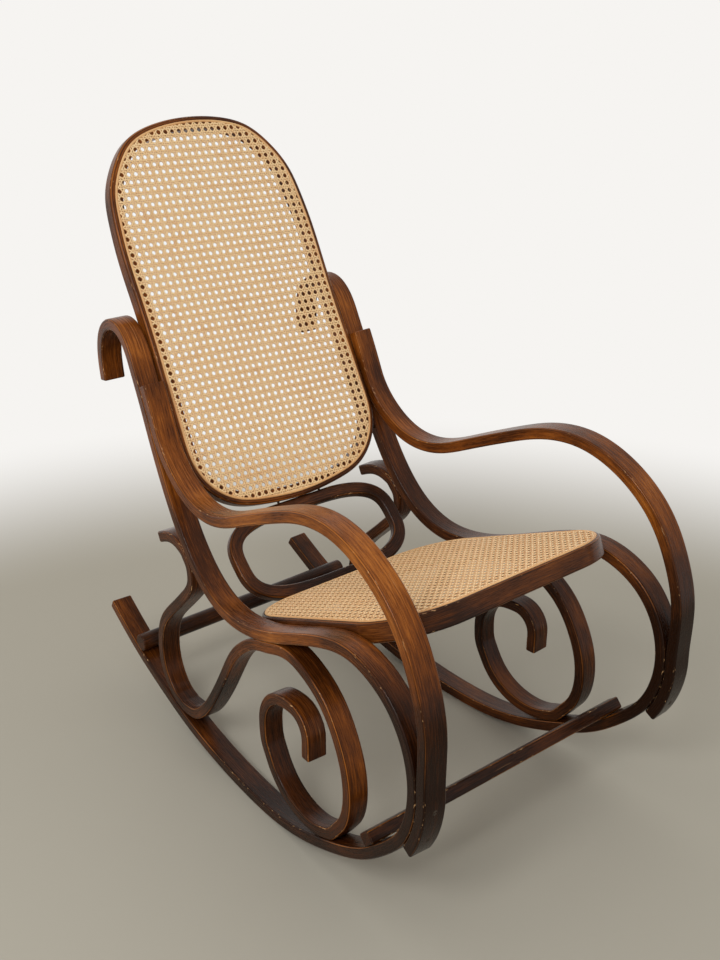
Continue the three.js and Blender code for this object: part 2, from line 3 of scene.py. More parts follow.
import bpy
import numpy as np
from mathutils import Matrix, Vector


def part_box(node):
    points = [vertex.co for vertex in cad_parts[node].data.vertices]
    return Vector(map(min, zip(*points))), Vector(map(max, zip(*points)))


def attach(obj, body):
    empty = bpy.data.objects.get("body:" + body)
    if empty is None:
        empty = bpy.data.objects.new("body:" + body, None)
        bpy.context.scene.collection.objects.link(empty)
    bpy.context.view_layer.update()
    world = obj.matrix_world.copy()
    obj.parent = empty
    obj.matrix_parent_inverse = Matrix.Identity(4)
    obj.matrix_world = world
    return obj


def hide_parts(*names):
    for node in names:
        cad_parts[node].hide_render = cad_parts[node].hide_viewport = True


# A bentwood rocking chair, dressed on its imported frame.
# Metres. X runs across the chair, the sitter faces -Y, and the floor is the plane Z = 0.
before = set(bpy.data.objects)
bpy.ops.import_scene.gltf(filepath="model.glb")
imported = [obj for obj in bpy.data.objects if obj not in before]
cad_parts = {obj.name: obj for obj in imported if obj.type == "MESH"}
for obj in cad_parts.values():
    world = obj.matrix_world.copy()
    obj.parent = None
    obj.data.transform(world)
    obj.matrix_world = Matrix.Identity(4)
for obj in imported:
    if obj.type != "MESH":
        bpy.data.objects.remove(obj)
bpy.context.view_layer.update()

# Sizes of the side frames and of the strips in them
OUTLINE_SIZE = 1.0
FRAME_WIDTH = 0.550
SPLAY_SLOPE = 0.051
SPLAY = math.atan(SPLAY_SLOPE)
SEATING_GAP = 0.0004
STRIP_WIDTH = 0.042
STRIP_THICKNESS = 0.021
SCROLL_WIDTH = 0.038
STRIP_ROUNDING = 0.0038
END_ROUNDING = 0.0028
RING_STEP = 0.0045
RAIL_STEP = 0.0135
ARC_STEPS = 5
END_STEPS = 4
LINE_SAMPLES = 6000
NEAREST_SAMPLES = 2400

# Seat and back
SEAT_RISE = 0.0085
SEAT_REAR_REACH = 0.262
SEAT_FRONT_REACH = 0.237
SEAT_REAR_RADIUS = 0.112
SEAT_FRONT_RADIUS = 0.115
SEAT_THICKNESS = 0.034
SEAT_RING_WIDTH = 0.046
SEAT_RIM_WIDTH = 0.005
SEAT_ROUNDING = 0.0043
BACK_PROUD = 0.0132
BACK_SIDE_DEPTH_SHARE = 0.427
BACK_SIDE_ACROSS_SHARE = 0.979
BACK_HEIGHT = 0.742
BACK_DROP = 0.104
BACK_THICKNESS = 0.030
BACK_RING_WIDTH = 0.025
BACK_RIM_WIDTH = 0.009
BACK_ROUNDING = 0.006
SPLINE_WIDTH = 0.005
GROOVE_DEPTH = 0.005
GROOVE_ROUNDING = 0.0006
SPLINE_PROUD = 0.0019
SPLINE_CLEARANCE = 0.0002
SPLINE_CROWN_SHARE = 0.46
OUTLINE_COUNT = 260
OUTLINE_LAP = 4
SEAT_CORNER_STEPS = 36

# Woven cane
CANE_PITCH_ACROSS = 0.0143
CANE_PITCH_UP = 0.0147
CANE_STRAND_WIDTH = 0.0034
CANE_DIAGONAL_WIDTH = 0.0035
CANE_STRAND_THICKNESS = 0.0007
CANE_PAIR_GAP = 0.0004
CANE_LEVEL = 0.0009
CANE_LIFT = 0.0005
CANE_DIAGONAL_LIFT = 0.000625
CANE_TOP_SHARE = 0.27
CANE_LEVEL_STRETCH_SHARES = (0.36, 0.64)
CANE_WIDTH_SPREAD_SHARE = 0.07
CANE_WANDER = 0.00018
CANE_WANDER_LENGTH = 0.09
CANE_TUCK = 0.0022
SEAT_CANE_FALL_SHARE = 0.0
BACK_CANE_FALL_SHARE = -0.05
SEAT_CANE_SEED = 11
BACK_CANE_SEED = 31

# Hoop between the seat and the back
HOOP_WIDTH = 0.380
HOOP_STRIP_WIDTH = 0.026
HOOP_DEPTH = 0.020
HOOP_FOOT_SETBACK = 0.0125
HOOP_FOOT_DROP = 0.002
HOOP_HEAD_DROP = 0.013
HOOP_HEAD_SETBACK = 0.020
HOOP_TOP_POWER = 3.2
HOOP_BOTTOM_POWER = 3
HOOP_ROUNDING = 0.0055
HOOP_SAMPLES = 2400

# Cross rails and fasteners
DOWEL_DIAMETER = 0.034
DOWEL_SIDES = 48
STRETCHER_WIDTH = 0.028
STRETCHER_THICKNESS = 0.022
HEAD_RADIUS = 0.0045
HEAD_SIDES = 28
HEAD_PROUD = 0.0006
HEAD_RADIUS_SHARES = (0.04, 0.2, 0.4, 0.6, 0.8, 0.92, 1.0, 1.0)
HEAD_LIFT_SHARES = (1.0, 0.98, 0.93, 0.82, 0.6, 0.35, 0.0, -1.6)
SLOT_WIDTH = 0.0011
SLOT_WALL_SHARE = 0.35
SLOT_DEPTH_SHARE = 1.6
ARM_LOOP_SCREW_SHARES = (0.26, 0.7)

# Outlines, as in the solids: [depth share, height share]
BEND_SHARES = [
    [0.512, 0.662], [0.517, 0.712], [0.505, 0.755], [0.473, 0.781], [0.440, 0.782], [0.408, 0.759],
    [0.385, 0.720], [0.361, 0.672], [0.330, 0.604], [0.279, 0.506], [0.227, 0.432], [0.173, 0.384],
    [0.105, 0.358], [0.009, 0.365], [-0.080, 0.398], [-0.196, 0.450], [-0.267, 0.467], [-0.325, 0.458],
    [-0.376, 0.430], [-0.412, 0.384], [-0.429, 0.325], [-0.426, 0.270], [-0.404, 0.213], [-0.362, 0.163],
    [-0.308, 0.116], [-0.219, 0.067], [-0.127, 0.032], [-0.040, 0.0145], [0.045, 0.0108], [0.110, 0.0132],
    [0.181, 0.0200], [0.270, 0.036], [0.365, 0.064], [0.461, 0.100], [0.568, 0.156],
]
ARM_SHARES = [
    [0.258, 0.555], [0.194, 0.526], [0.125, 0.527], [0.034, 0.563], [-0.066, 0.610], [-0.143, 0.640],
    [-0.226, 0.650], [-0.317, 0.623], [-0.391, 0.562], [-0.427, 0.499], [-0.449, 0.425],
]
SCROLL_TAIL_SHARES = [
    [0.331, 0.409], [0.315, 0.4165], [0.299, 0.4225], [0.284, 0.425], [0.268, 0.4245], [0.253, 0.4205],
]
SCROLL_REAR_SHARES = [
    [0.223, 0.394], [0.220, 0.384], [0.219, 0.372], [0.221, 0.358], [0.231, 0.340], [0.252, 0.317],
    [0.278, 0.291], [0.308, 0.262], [0.330, 0.238], [0.346, 0.212], [0.355, 0.180], [0.357, 0.148],
    [0.350, 0.115], [0.335, 0.090],
]
SCROLL_RISE_SHARES = [
    [0.270, 0.062], [0.240, 0.068], [0.212, 0.086], [0.185, 0.114], [0.160, 0.148], [0.130, 0.195],
    [0.102, 0.243], [0.070, 0.290], [0.036, 0.322], [0.011, 0.339],
]
SCROLL_FRONT_SHARES = [
    [-0.085, 0.373], [-0.115, 0.374], [-0.150, 0.365], [-0.185, 0.348], [-0.215, 0.322],
    [-0.240, 0.285], [-0.257, 0.245], [-0.264, 0.205], [-0.262, 0.170], [-0.250, 0.135], [-0.232, 0.110],
]
SCROLL_CURL_SHARES = [
    [-0.155, 0.069], [-0.130, 0.069], [-0.100, 0.075], [-0.072, 0.088], [-0.043, 0.115], [-0.029, 0.137],
    [-0.018, 0.160], [-0.015, 0.185], [-0.016, 0.210], [-0.025, 0.235], [-0.042, 0.256], [-0.066, 0.270],
    [-0.092, 0.275], [-0.118, 0.274], [-0.137, 0.262], [-0.147, 0.243], [-0.148, 0.220], [-0.148, 0.198],
]
POST_SEAT_SHARES = ([0.370, 0.691], [0.332, 0.605])
LOOP_SEAT_SHARES = ([-0.430, 0.322], [-0.403, 0.211])
SCROLL_POST_SHARES = ([0.223, 0.428], [0.213, 0.417])
SCROLL_RUNNER_REAR_SHARES = ([0.312, 0.048], [0.290, 0.042])
SCROLL_RAIL_SHARES = ([-0.010, 0.371], [-0.045, 0.383])
SCROLL_RUNNER_FRONT_SHARES = ([-0.218, 0.067], [-0.195, 0.057])
RAIL_STRAIGHT_SHARES = ([-0.080, 0.398], [-0.196, 0.450])
POST_STRAIGHT_SHARES = ([0.330, 0.604], [0.258, 0.474])
DOWEL_SHARES = [0.455, 0.098]
STRETCHER_SHARES = [-0.334, 0.140]
BACK_OUTLINE_SHARES = [
    [0, 0], [0.372, 0.009], [0.665, 0.031], [0.888, 0.085], [0.990, 0.155], [1, 0.233], [0.993, 0.327],
    [0.981, 0.434], [0.978, 0.569], [0.977, 0.690], [0.958, 0.763], [0.912, 0.837], [0.790, 0.905],
    [0.609, 0.960], [0.326, 0.991], [0, 1],
]

SIDES = (("right", -1), ("left", 1))
OUTER = 1
INNER = -1


class BentLine:
    """A smooth line in a plane: a cubic spline over the summed distances between its points.

    Its second derivatives are zero at both ends, and elsewhere they make the slope continuous.
    """

    def __init__(self, points):
        self.points = np.asarray(points, float)
        spans = np.linalg.norm(np.diff(self.points, axis=0), axis=1)
        self.knots = np.concatenate([[0], np.cumsum(spans)])
        slopes = np.diff(self.points, axis=0) / spans[:, None]
        shared = spans[1:-1]
        system = np.diag(2 * (spans[:-1] + spans[1:])) + np.diag(shared, 1) + np.diag(shared, -1)
        self.bends = np.zeros_like(self.points)
        self.bends[1:-1] = np.linalg.solve(system, 6 * np.diff(slopes, axis=0))
        self.reaches = np.linspace(0, self.knots[-1], LINE_SAMPLES + 1)
        steps = np.linalg.norm(np.diff(self.at_reach(self.reaches)[0], axis=0), axis=1)
        self.lengths = np.concatenate([[0], np.cumsum(steps)])
        self.length = self.lengths[-1]

    def at_reach(self, reach):
        """Points and unit directions where the summed distance is reach."""
        i = np.clip(np.searchsorted(self.knots, reach, side="right") - 1, 0, len(self.knots) - 2)
        span = (self.knots[i + 1] - self.knots[i])[:, None]
        a = (self.knots[i + 1] - reach)[:, None] / span
        b = 1 - a
        start, end = self.points[i], self.points[i + 1]
        bend_start, bend_end = self.bends[i], self.bends[i + 1]
        place = a * start + b * end + ((a**3 - a) * bend_start + (b**3 - b) * bend_end) * span**2 / 6
        way = (end - start) / span + ((3 * b**2 - 1) * bend_end - (3 * a**2 - 1) * bend_start) * span / 6
        return place, way / np.linalg.norm(way, axis=1, keepdims=True)

    def at_length(self, length):
        """Points and unit directions at these lengths from the start."""
        return self.at_reach(np.interp(length, self.lengths, self.reaches))

    def length_near(self, place):
        """The length from the start at which the line passes nearest to a place."""
        length = np.linspace(0, self.length, NEAREST_SAMPLES + 1)
        points = self.at_length(length)[0]
        return length[np.argmin(np.linalg.norm(points - np.asarray(place), axis=1))]


def side_points(shares):
    """Points of the side plane, depth and height, from their shares of the outline's size."""
    return np.asarray(shares, float) * OUTLINE_SIZE


def outward_of(way):
    """The normals of a line in a plane: its directions turned clockwise by a quarter turn."""
    return np.stack([way[:, 1], -way[:, 0]], axis=1)


bend_line = BentLine(side_points(BEND_SHARES))


def seated_points(stretch, side, count=5):
    """Middle points of a strip that lies on the frame bend between two places, on one side of it."""
    ends = [bend_line.length_near(side_points(place)) for place in stretch]
    places, ways = bend_line.at_length(np.linspace(ends[0], ends[1], count))
    return places + side * (STRIP_THICKNESS + SEATING_GAP) * outward_of(ways)


arm_line = BentLine(np.concatenate([
    seated_points(POST_SEAT_SHARES, OUTER),
    side_points(ARM_SHARES),
    seated_points(LOOP_SEAT_SHARES, OUTER, 7),
]))
scroll_line = BentLine(np.concatenate([
    side_points(SCROLL_TAIL_SHARES),
    seated_points(SCROLL_POST_SHARES, INNER),
    side_points(SCROLL_REAR_SHARES),
    seated_points(SCROLL_RUNNER_REAR_SHARES, INNER),
    side_points(SCROLL_RISE_SHARES),
    seated_points(SCROLL_RAIL_SHARES, INNER),
    side_points(SCROLL_FRONT_SHARES),
    seated_points(SCROLL_RUNNER_FRONT_SHARES, INNER),
    side_points(SCROLL_CURL_SHARES),
]))


def rounded_section(corners, radii, steps=ARC_STEPS):
    """A closed section and its normals: straight sides joined by arcs, anticlockwise.

    Each arc touches its two sides at radius times the tangent of half the turn from the corner.
    """
    corners = np.asarray(corners, float)
    sides = np.roll(corners, -1, axis=0) - corners
    sides /= np.linalg.norm(sides, axis=1, keepdims=True)
    points, normals = [], []
    for corner, before, after, radius in zip(corners, np.roll(sides, 1, axis=0), sides, radii):
        turn = math.atan2(before[0] * after[1] - before[1] * after[0], before @ after)
        bulge = math.copysign(radius, turn)
        start = corner - before * radius * math.tan(abs(turn) / 2)
        centre = start - bulge * np.array([before[1], -before[0]])
        heading = math.atan2(-before[0], before[1]) + turn * np.linspace(0, 1, steps + 1)
        spoke = np.stack([np.cos(heading), np.sin(heading)], axis=1)
        points.append(centre + bulge * spoke)
        normals.append(spoke)
    return np.concatenate(points), np.concatenate(normals)


def rectangle_section(width, height, radius):
    corners = np.array([[-1, -1], [1, -1], [1, 1], [-1, 1]]) * [width / 2, height / 2]
    return rounded_section(corners, [radius] * 4)


def signed_volume(points, faces):
    """Six times the volume inside faces of four corners, positive where they face outwards."""
    a, b, c, d = (points[faces[:, k]] for k in range(4))
    return np.einsum("ij,ij->", a, np.cross(b, c)) + np.einsum("ij,ij->", a, np.cross(c, d))


def make_piece(name, points, faces, values, normals=None, caps=(), cap_values=None):
    """A mesh object of faces with four corners, and of flat caps, with a value at each corner."""
    mesh = bpy.data.meshes.new(name)
    loops = np.concatenate([faces.ravel(), *caps]) if len(caps) else faces.ravel()
    counts = np.array([4] * len(faces) + [len(cap) for cap in caps])
    mesh.vertices.add(len(points))
    mesh.vertices.foreach_set("co", points.astype(np.float32).ravel())
    mesh.loops.add(len(loops))
    mesh.loops.foreach_set("vertex_index", loops.astype(np.int32))
    mesh.polygons.add(len(counts))
    mesh.polygons.foreach_set("loop_start", (np.cumsum(counts) - counts).astype(np.int32))
    mesh.update(calc_edges=True)
    mesh.shade_smooth()
    for label, rows in values.items():
        rows = rows.reshape(len(faces) * 4, -1)
        if len(caps):
            rows = np.concatenate([rows, cap_values[label]])
        kind = "FLOAT" if rows.shape[1] == 1 else "FLOAT_VECTOR"
        attribute = mesh.attributes.new(label, kind, "CORNER")
        key = "value" if rows.shape[1] == 1 else "vector"
        attribute.data.foreach_set(key, rows.astype(np.float32).ravel())
    if normals is not None:
        mesh.normals_split_custom_set_from_vertices(normals.tolist())
    piece = bpy.data.objects.new(name, mesh)
    bpy.context.scene.collection.objects.link(piece)
    return piece


def grid_corners(steps, columns):
    """Row and column of the four corners of each face of a grid that closes round its columns."""
    i, j = np.meshgrid(np.arange(steps), np.arange(columns), indexing="ij")
    next_j = (j + 1) % columns
    row_of = np.stack([i, i + 1, i + 1, i], axis=-1).reshape(-1, 4)
    column_of = np.stack([j, j, next_j, next_j], axis=-1).reshape(-1, 4)
    return row_of, column_of


def make_carried(name, points, normals, lengths, section, section_normals, closed):
    """A section carried along a line: a grid with a row for each place and a column for each corner.

    Its corners carry the place in the wood, as length, across and through, and how near an arris is.
    A round section has no arris.
    """
    rows, columns = points.shape[:2]
    row_of, column_of = grid_corners(rows if closed else rows - 1, columns)
    faces = row_of % rows * columns + column_of
    flat = points.reshape(-1, 3)
    if signed_volume(flat - flat.mean(axis=0), faces) < 0:
        faces, row_of, column_of = faces[:, ::-1], row_of[:, ::-1], column_of[:, ::-1]
    arris = 2 * np.abs(section_normals[:, 0] * section_normals[:, 1])
    if np.allclose(section, section_normals * np.linalg.norm(section[0])):
        arris = np.zeros(columns)

    def in_wood(row, column):
        return np.concatenate([lengths[row][..., None], section[column]], axis=-1)

    values = {"grain": in_wood(row_of, column_of), "arris": arris[column_of]}
    caps, cap_values = (), None
    if not closed:
        caps = end_caps(points)
        corner = np.concatenate(caps)
        place = in_wood(corner // columns, corner % columns)
        cap_values = {"grain": place, "arris": np.zeros((len(corner), 1))}
    return make_piece(name, flat, faces, values, normals.reshape(-1, 3), caps, cap_values)


def end_caps(points):
    """The first and last rows of a grid as two flat faces that look away from the piece."""
    rows, columns = points.shape[:2]
    caps = []
    for row, inner in ((0, 1), (rows - 1, rows - 2)):
        ring = points[row]
        centre = ring.mean(axis=0)
        normal = np.cross(ring - centre, np.roll(ring, -1, axis=0) - centre).sum(axis=0)
        cap = row * columns + np.arange(columns)
        caps.append(cap if normal @ (ring - points[inner]).mean(axis=0) > 0 else cap[::-1])
    return caps


def strip_lengths(total, step):
    """Even places along a strip, with close ones in the rounding of both ends."""
    rounding = END_ROUNDING * (1 - np.cos(np.linspace(0, math.pi / 2, END_STEPS + 1)))
    count = max(2, round((total - 2 * END_ROUNDING) / step) + 1)
    middle = np.linspace(END_ROUNDING, total - END_ROUNDING, count)
    return np.concatenate([rounding[:-1], middle, total - rounding[::-1][1:]])


def round_ends(section, section_normals, lengths, total):
    """A section at each place of a strip, drawn in along a quarter circle at both ends.

    Gives the points, and the normals as their part across the strip and their part along it.
    """
    near = np.minimum(lengths, total - lengths)
    inside = np.clip(1 - near / END_ROUNDING, 0, 1)
    inset = END_ROUNDING * (1 - np.sqrt(1 - inside**2))[:, None, None]
    across = section_normals * np.sqrt(1 - inside**2)[:, None, None]
    along = np.where(lengths < total / 2, -1.0, 1.0) * inside
    return section - inset * section_normals, across, along[:, None, None]


def make_strip(name, line, place_of, section):
    """A strip bent along a line of the side plane: its section is carried at a right angle to it."""
    lengths = strip_lengths(line.length, RING_STEP)
    centre, way = line.at_length(lengths)
    centre, way, outward = centre[:, None], way[:, None], outward_of(way)[:, None]
    points, across, along = round_ends(*section, lengths, line.length)
    local = np.concatenate([points[..., :1], centre + points[..., 1:] * outward], axis=-1)
    normal = np.concatenate([across[..., :1], across[..., 1:] * outward + along * way], axis=-1)
    return make_carried(name, *place_of(local, normal), lengths, *section, False)


def in_side_frame(sign):
    """Puts points of a strip into the chair: beside the frame's outer face, turned by the splay."""
    cos, sin = math.cos(sign * SPLAY), math.sin(sign * SPLAY)
    turn = np.array([[cos, -sin, 0], [sin, cos, 0], [0, 0, 1]])

    def place(local, normal):
        moved = local + [-sign * STRIP_WIDTH / 2, 0, 0]
        return moved @ turn.T + [sign * FRAME_WIDTH / 2, 0, 0] + chair_shift, normal @ turn.T

    return place


def in_chair(length, lift):
    """Depth and height in the chair of a point over the frame bend's middle line."""
    place, way = bend_line.at_length(np.array([length]))
    depth, height = (place + lift * outward_of(way))[0]
    return np.array([depth * math.cos(SPLAY) - STRIP_WIDTH / 2 * math.sin(SPLAY), height])


class Tilted:
    """A plane across the chair: X across, Y along its slope and Z out of its face."""

    def __init__(self, origin, along):
        self.origin = np.array([0, *origin])
        slope = np.asarray(along) / np.linalg.norm(along)
        self.axes = np.array([[1, 0, 0], [0, slope[0], slope[1]], [0, -slope[1], slope[0]]])

    def place(self, local):
        return local @ self.axes + self.origin + chair_shift

    def turn(self, normal):
        return normal @ self.axes

    def back(self, points):
        return (points - self.origin - chair_shift) @ self.axes.T


def tilted_on_bend(stretch, lift):
    """The plane that lies over both frame bends between two places, lifted off their middle lines."""
    ends = [in_chair(bend_line.length_near(side_points(place)), lift) for place in stretch]
    return Tilted((ends[0] + ends[1]) / 2, ends[0] - ends[1])


def clear_half_width(depth):
    """Half of the clear width between the side frames at a depth."""
    return FRAME_WIDTH / 2 - STRIP_WIDTH / math.cos(SPLAY) - math.tan(SPLAY) * depth


back_clear_half_width = clear_half_width(BACK_SIDE_DEPTH_SHARE * OUTLINE_SIZE) - SEATING_GAP
BACK_WIDTH = 2 * back_clear_half_width / BACK_SIDE_ACROSS_SHARE
seat_plane = tilted_on_bend(RAIL_STRAIGHT_SHARES, STRIP_THICKNESS / 2 + SEAT_RISE)
back_plane = tilted_on_bend(POST_STRAIGHT_SHARES, STRIP_THICKNESS / 2 + BACK_PROUD)


def measured_shift():
    """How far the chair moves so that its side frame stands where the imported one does."""
    middle, way = bend_line.at_length(np.linspace(0, bend_line.length, NEAREST_SAMPLES + 1))
    outer = middle + outward_of(way) * STRIP_THICKNESS / 2
    front = outer[:, 0].min() * math.cos(SPLAY) - STRIP_WIDTH * math.sin(SPLAY)
    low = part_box("right_frame_bend")[0]
    return np.array([0, low[1] - front, -outer[:, 1].min()])


chair_shift = measured_shift()


def seat_outline(inset):
    """The seat's outline moved in by an inset: four sides joined by arcs, anticlockwise."""
    front, rear = (-SEAT_FRONT_REACH, SEAT_FRONT_RADIUS), (SEAT_REAR_REACH, SEAT_REAR_RADIUS)
    corners = []
    for sign, (reach, radius) in ((-1, front), (1, front), (1, rear), (-1, rear)):
        depth = seat_plane.origin[1] + reach * seat_plane.axes[1, 1]
        corners.append([sign * (clear_half_width(depth) - SEATING_GAP), reach, radius])
    corners = np.array(corners)
    sides = np.roll(corners[:, :2], -1, axis=0) - corners[:, :2]
    sides /= np.linalg.norm(sides, axis=1, keepdims=True)
    inward = np.stack([-sides[:, 1], sides[:, 0]], axis=1)
    before = np.roll(inward, 1, axis=0)
    moved = corners[:, :2] + inset * (before + inward) / (1 + np.sum(before * inward, axis=1))[:, None]
    return rounded_section(moved, corners[:, 2] - inset, steps=SEAT_CORNER_STEPS)


def back_outline(inset):
    """The back's outline moved in by an inset: a closed smooth line through mirrored points."""
    half = np.asarray(BACK_OUTLINE_SHARES, float) * [BACK_WIDTH / 2, BACK_HEIGHT] - [0, BACK_DROP]
    around = np.concatenate([half, half[1:-1][::-1] * [-1, 1]])
    line = BentLine(np.concatenate([around[-OUTLINE_LAP:], around, around[:OUTLINE_LAP]]))
    ends = line.knots[[OUTLINE_LAP, OUTLINE_LAP + len(around)]]
    lengths = np.interp(ends, line.reaches, line.lengths)
    share = np.arange(OUTLINE_COUNT) / OUTLINE_COUNT
    points, way = line.at_length(lengths[0] + share * (lengths[1] - lengths[0]))
    normals = outward_of(way)
    return points - inset * normals, normals


def make_ring(name, plane, outline, section, section_normals):
    """A section carried round an outline: each corner of it follows the outline at its own inset."""
    loops = [outline(inset) for inset in section[:, 0]]
    flat = np.stack([points for points, _ in loops], axis=1)
    outward = loops[0][1][:, None]
    level = np.broadcast_to(section[None, :, 1, None], flat.shape[:2] + (1,))
    local = np.concatenate([flat, level], axis=-1)
    sideways = -section_normals[None, :, 0, None] * outward
    upward = np.broadcast_to(section_normals[None, :, 1, None], flat.shape[:2] + (1,))
    normal = np.concatenate([sideways, upward], axis=-1)
    outer = flat[:, 0]
    steps = np.linalg.norm(np.roll(outer, -1, axis=0) - outer, axis=1)
    lengths = np.concatenate([[0], np.cumsum(steps)])
    return make_carried(name, plane.place(local), plane.turn(normal), lengths, section, section_normals, True)


def caned_ring_section(width, thickness, rim_width, rounding):
    """Section of a caned ring: a rectangle with a groove for the spline in its top."""
    groove_end = rim_width + SPLINE_WIDTH
    corners = [[0, -thickness], [width, -thickness], [width, 0], [groove_end, 0],
               [groove_end, -GROOVE_DEPTH], [rim_width, -GROOVE_DEPTH], [rim_width, 0], [0, 0]]
    small = GROOVE_ROUNDING
    return rounded_section(corners, [rounding, rounding, rounding / 2, small, small, small, small, rounding])


def spline_section(rim_width):
    """Section of the spline: a strip with a round top, standing a little out of its groove."""
    low, high = rim_width + SPLINE_CLEARANCE, rim_width + SPLINE_WIDTH - SPLINE_CLEARANCE
    foot = SPLINE_CLEARANCE - GROOVE_DEPTH
    corners = [[low, foot], [high, foot], [high, SPLINE_PROUD], [low, SPLINE_PROUD]]
    crown = (high - low) * SPLINE_CROWN_SHARE
    return rounded_section(corners, [GROOVE_ROUNDING, GROOVE_ROUNDING, crown, crown])


class Strands:
    """Strands of cane laid on a plane, gathered as rings of four corners and made one mesh."""

    def __init__(self, seed):
        self.random = np.random.default_rng(seed)
        self.centres, self.sides, self.lifts, self.widths = [], [], [], []
        self.lengths, self.tones, self.numbers = [], [], []
        self.count = 0

    def add(self, start, way, places, lifts, width):
        """One strand: places are distances along its line from start, and lifts its heights there.

        It wanders sideways with the sine of its place, and has a phase, a tone and a width of its own.
        """
        phase, tone = self.random.uniform(0, 2 * math.pi), self.random.uniform(0, 1)
        side = np.array([-way[1], way[0]])
        wander = CANE_WANDER * np.sin(places * 2 * math.pi / CANE_WANDER_LENGTH + phase)
        spread = self.random.uniform(1 - CANE_WIDTH_SPREAD_SHARE, 1 + CANE_WIDTH_SPREAD_SHARE)
        centre = start + places[:, None] * way + wander[:, None] * side
        self.centres.append(centre)
        self.sides.append(np.broadcast_to(side, centre.shape))
        self.lifts.append(lifts)
        self.widths.append(np.full(len(places), width * spread))
        self.lengths.append(places + phase)
        self.tones.append(np.full(len(places), tone))
        self.numbers.append(np.full(len(places), self.count))
        self.count += 1

    def make(self, name, plane):
        """A flat strip with a narrower top: four corners at each place, joined along each strand."""
        centre, side = np.concatenate(self.centres), np.concatenate(self.sides)
        lift, width = np.concatenate(self.lifts), np.concatenate(self.widths)
        number = np.concatenate(self.numbers)
        across = np.array([-0.5, 0.5, CANE_TOP_SHARE, -CANE_TOP_SHARE])
        up = np.array([-0.5, -0.5, 0.5, 0.5]) * CANE_STRAND_THICKNESS
        flat = centre[:, None] + (across[None, :] * width[:, None])[..., None] * side[:, None]
        level = (lift[:, None] + up[None, :])[..., None]
        points = plane.place(np.concatenate([flat, level], axis=-1)).reshape(-1, 3)
        ring = np.flatnonzero(number[1:] == number[:-1])[:, None]
        j = np.arange(4)[None, :]
        following = (j + 1) % 4
        faces = np.stack([ring * 4 + j, ring * 4 + following, (ring + 1) * 4 + following,
                          (ring + 1) * 4 + j], axis=-1).reshape(-1, 4)
        first = np.flatnonzero(np.r_[True, number[1:] != number[:-1]])[:, None] * 4
        last = np.flatnonzero(np.r_[number[1:] != number[:-1], True])[:, None] * 4
        faces = np.concatenate([faces, first + np.arange(4)[::-1], last + np.arange(4)])
        if signed_volume(points - points.mean(axis=0), faces) < 0:
            faces = faces[:, ::-1]
        corner = faces // 4
        length, tone = np.concatenate(self.lengths), np.concatenate(self.tones)
        place = np.stack([length[corner], across[faces % 4] * width[corner], tone[corner]], axis=-1)
        return make_piece(name, points, faces, {"grain": place})


def crossings(outline, start, way):
    """Distances from start along a line at which it enters and leaves a closed outline, or None."""
    side = np.array([-way[1], way[0]])
    offset = (outline - start) @ side
    ahead = np.roll(offset, -1)
    cut = np.flatnonzero((offset > 0) != (ahead > 0))
    if len(cut) < 2:
        return None
    share = offset[cut] / (offset[cut] - ahead[cut])
    place = outline[cut] + share[:, None] * (np.roll(outline, -1, axis=0)[cut] - outline[cut])
    along = np.sort((place - start) @ way)
    return along[0], along[-1]


def lay_strand(strands, outline, start, way, repeat, stops, lifts, width):
    """Lays a strand along a line across the outline, with its heights repeated along it."""
    reach = crossings(outline, start, way)
    if reach is None or reach[1] - reach[0] < 3 * CANE_TUCK:
        return
    low, high = reach
    turns = np.arange(math.floor(low / repeat) - 1, math.ceil(high / repeat) + 2)
    places = (turns[:, None] * repeat + stops[None, :]).ravel()
    heights = CANE_LEVEL + np.tile(lifts, len(turns))
    kept = (places > low + CANE_TUCK) & (places < high - CANE_TUCK)
    places = np.concatenate([[low, low + CANE_TUCK], places[kept], [high - CANE_TUCK, high]])
    tucked = CANE_LEVEL - 2 * CANE_STRAND_THICKNESS
    tucked_end = [tucked - CANE_STRAND_THICKNESS, tucked + CANE_STRAND_THICKNESS]
    heights = np.concatenate([tucked_end, heights[kept], tucked_end[::-1]])
    strands.add(start, way, places, heights, width)


def lay_pairs(strands, outline, count, apart, along, axis):
    """Lays pairs of strands at even distances apart: uprights with axis 0, and rungs with axis 1.

    At each crossing pair a strand passes over one of the two and under the other, and then it runs level
    to the next. The two strands of a pair do so in opposite order.
    """
    half_pair = (CANE_STRAND_WIDTH + CANE_PAIR_GAP) / 2
    step = np.linalg.norm(along)
    level_from, level_to = CANE_LEVEL_STRETCH_SHARES
    stops = np.array([-half_pair, half_pair, step * level_from, step * level_to])
    for k in range(-count, count + 1):
        for side in (-1, 1):
            start = k * apart
            start[axis] += side * half_pair
            lifts = CANE_LIFT * side * (1 - 2 * axis) * np.array([1, -1, 0, 0])
            lay_strand(strands, outline, start, along / step, step, stops, lifts, CANE_STRAND_WIDTH)


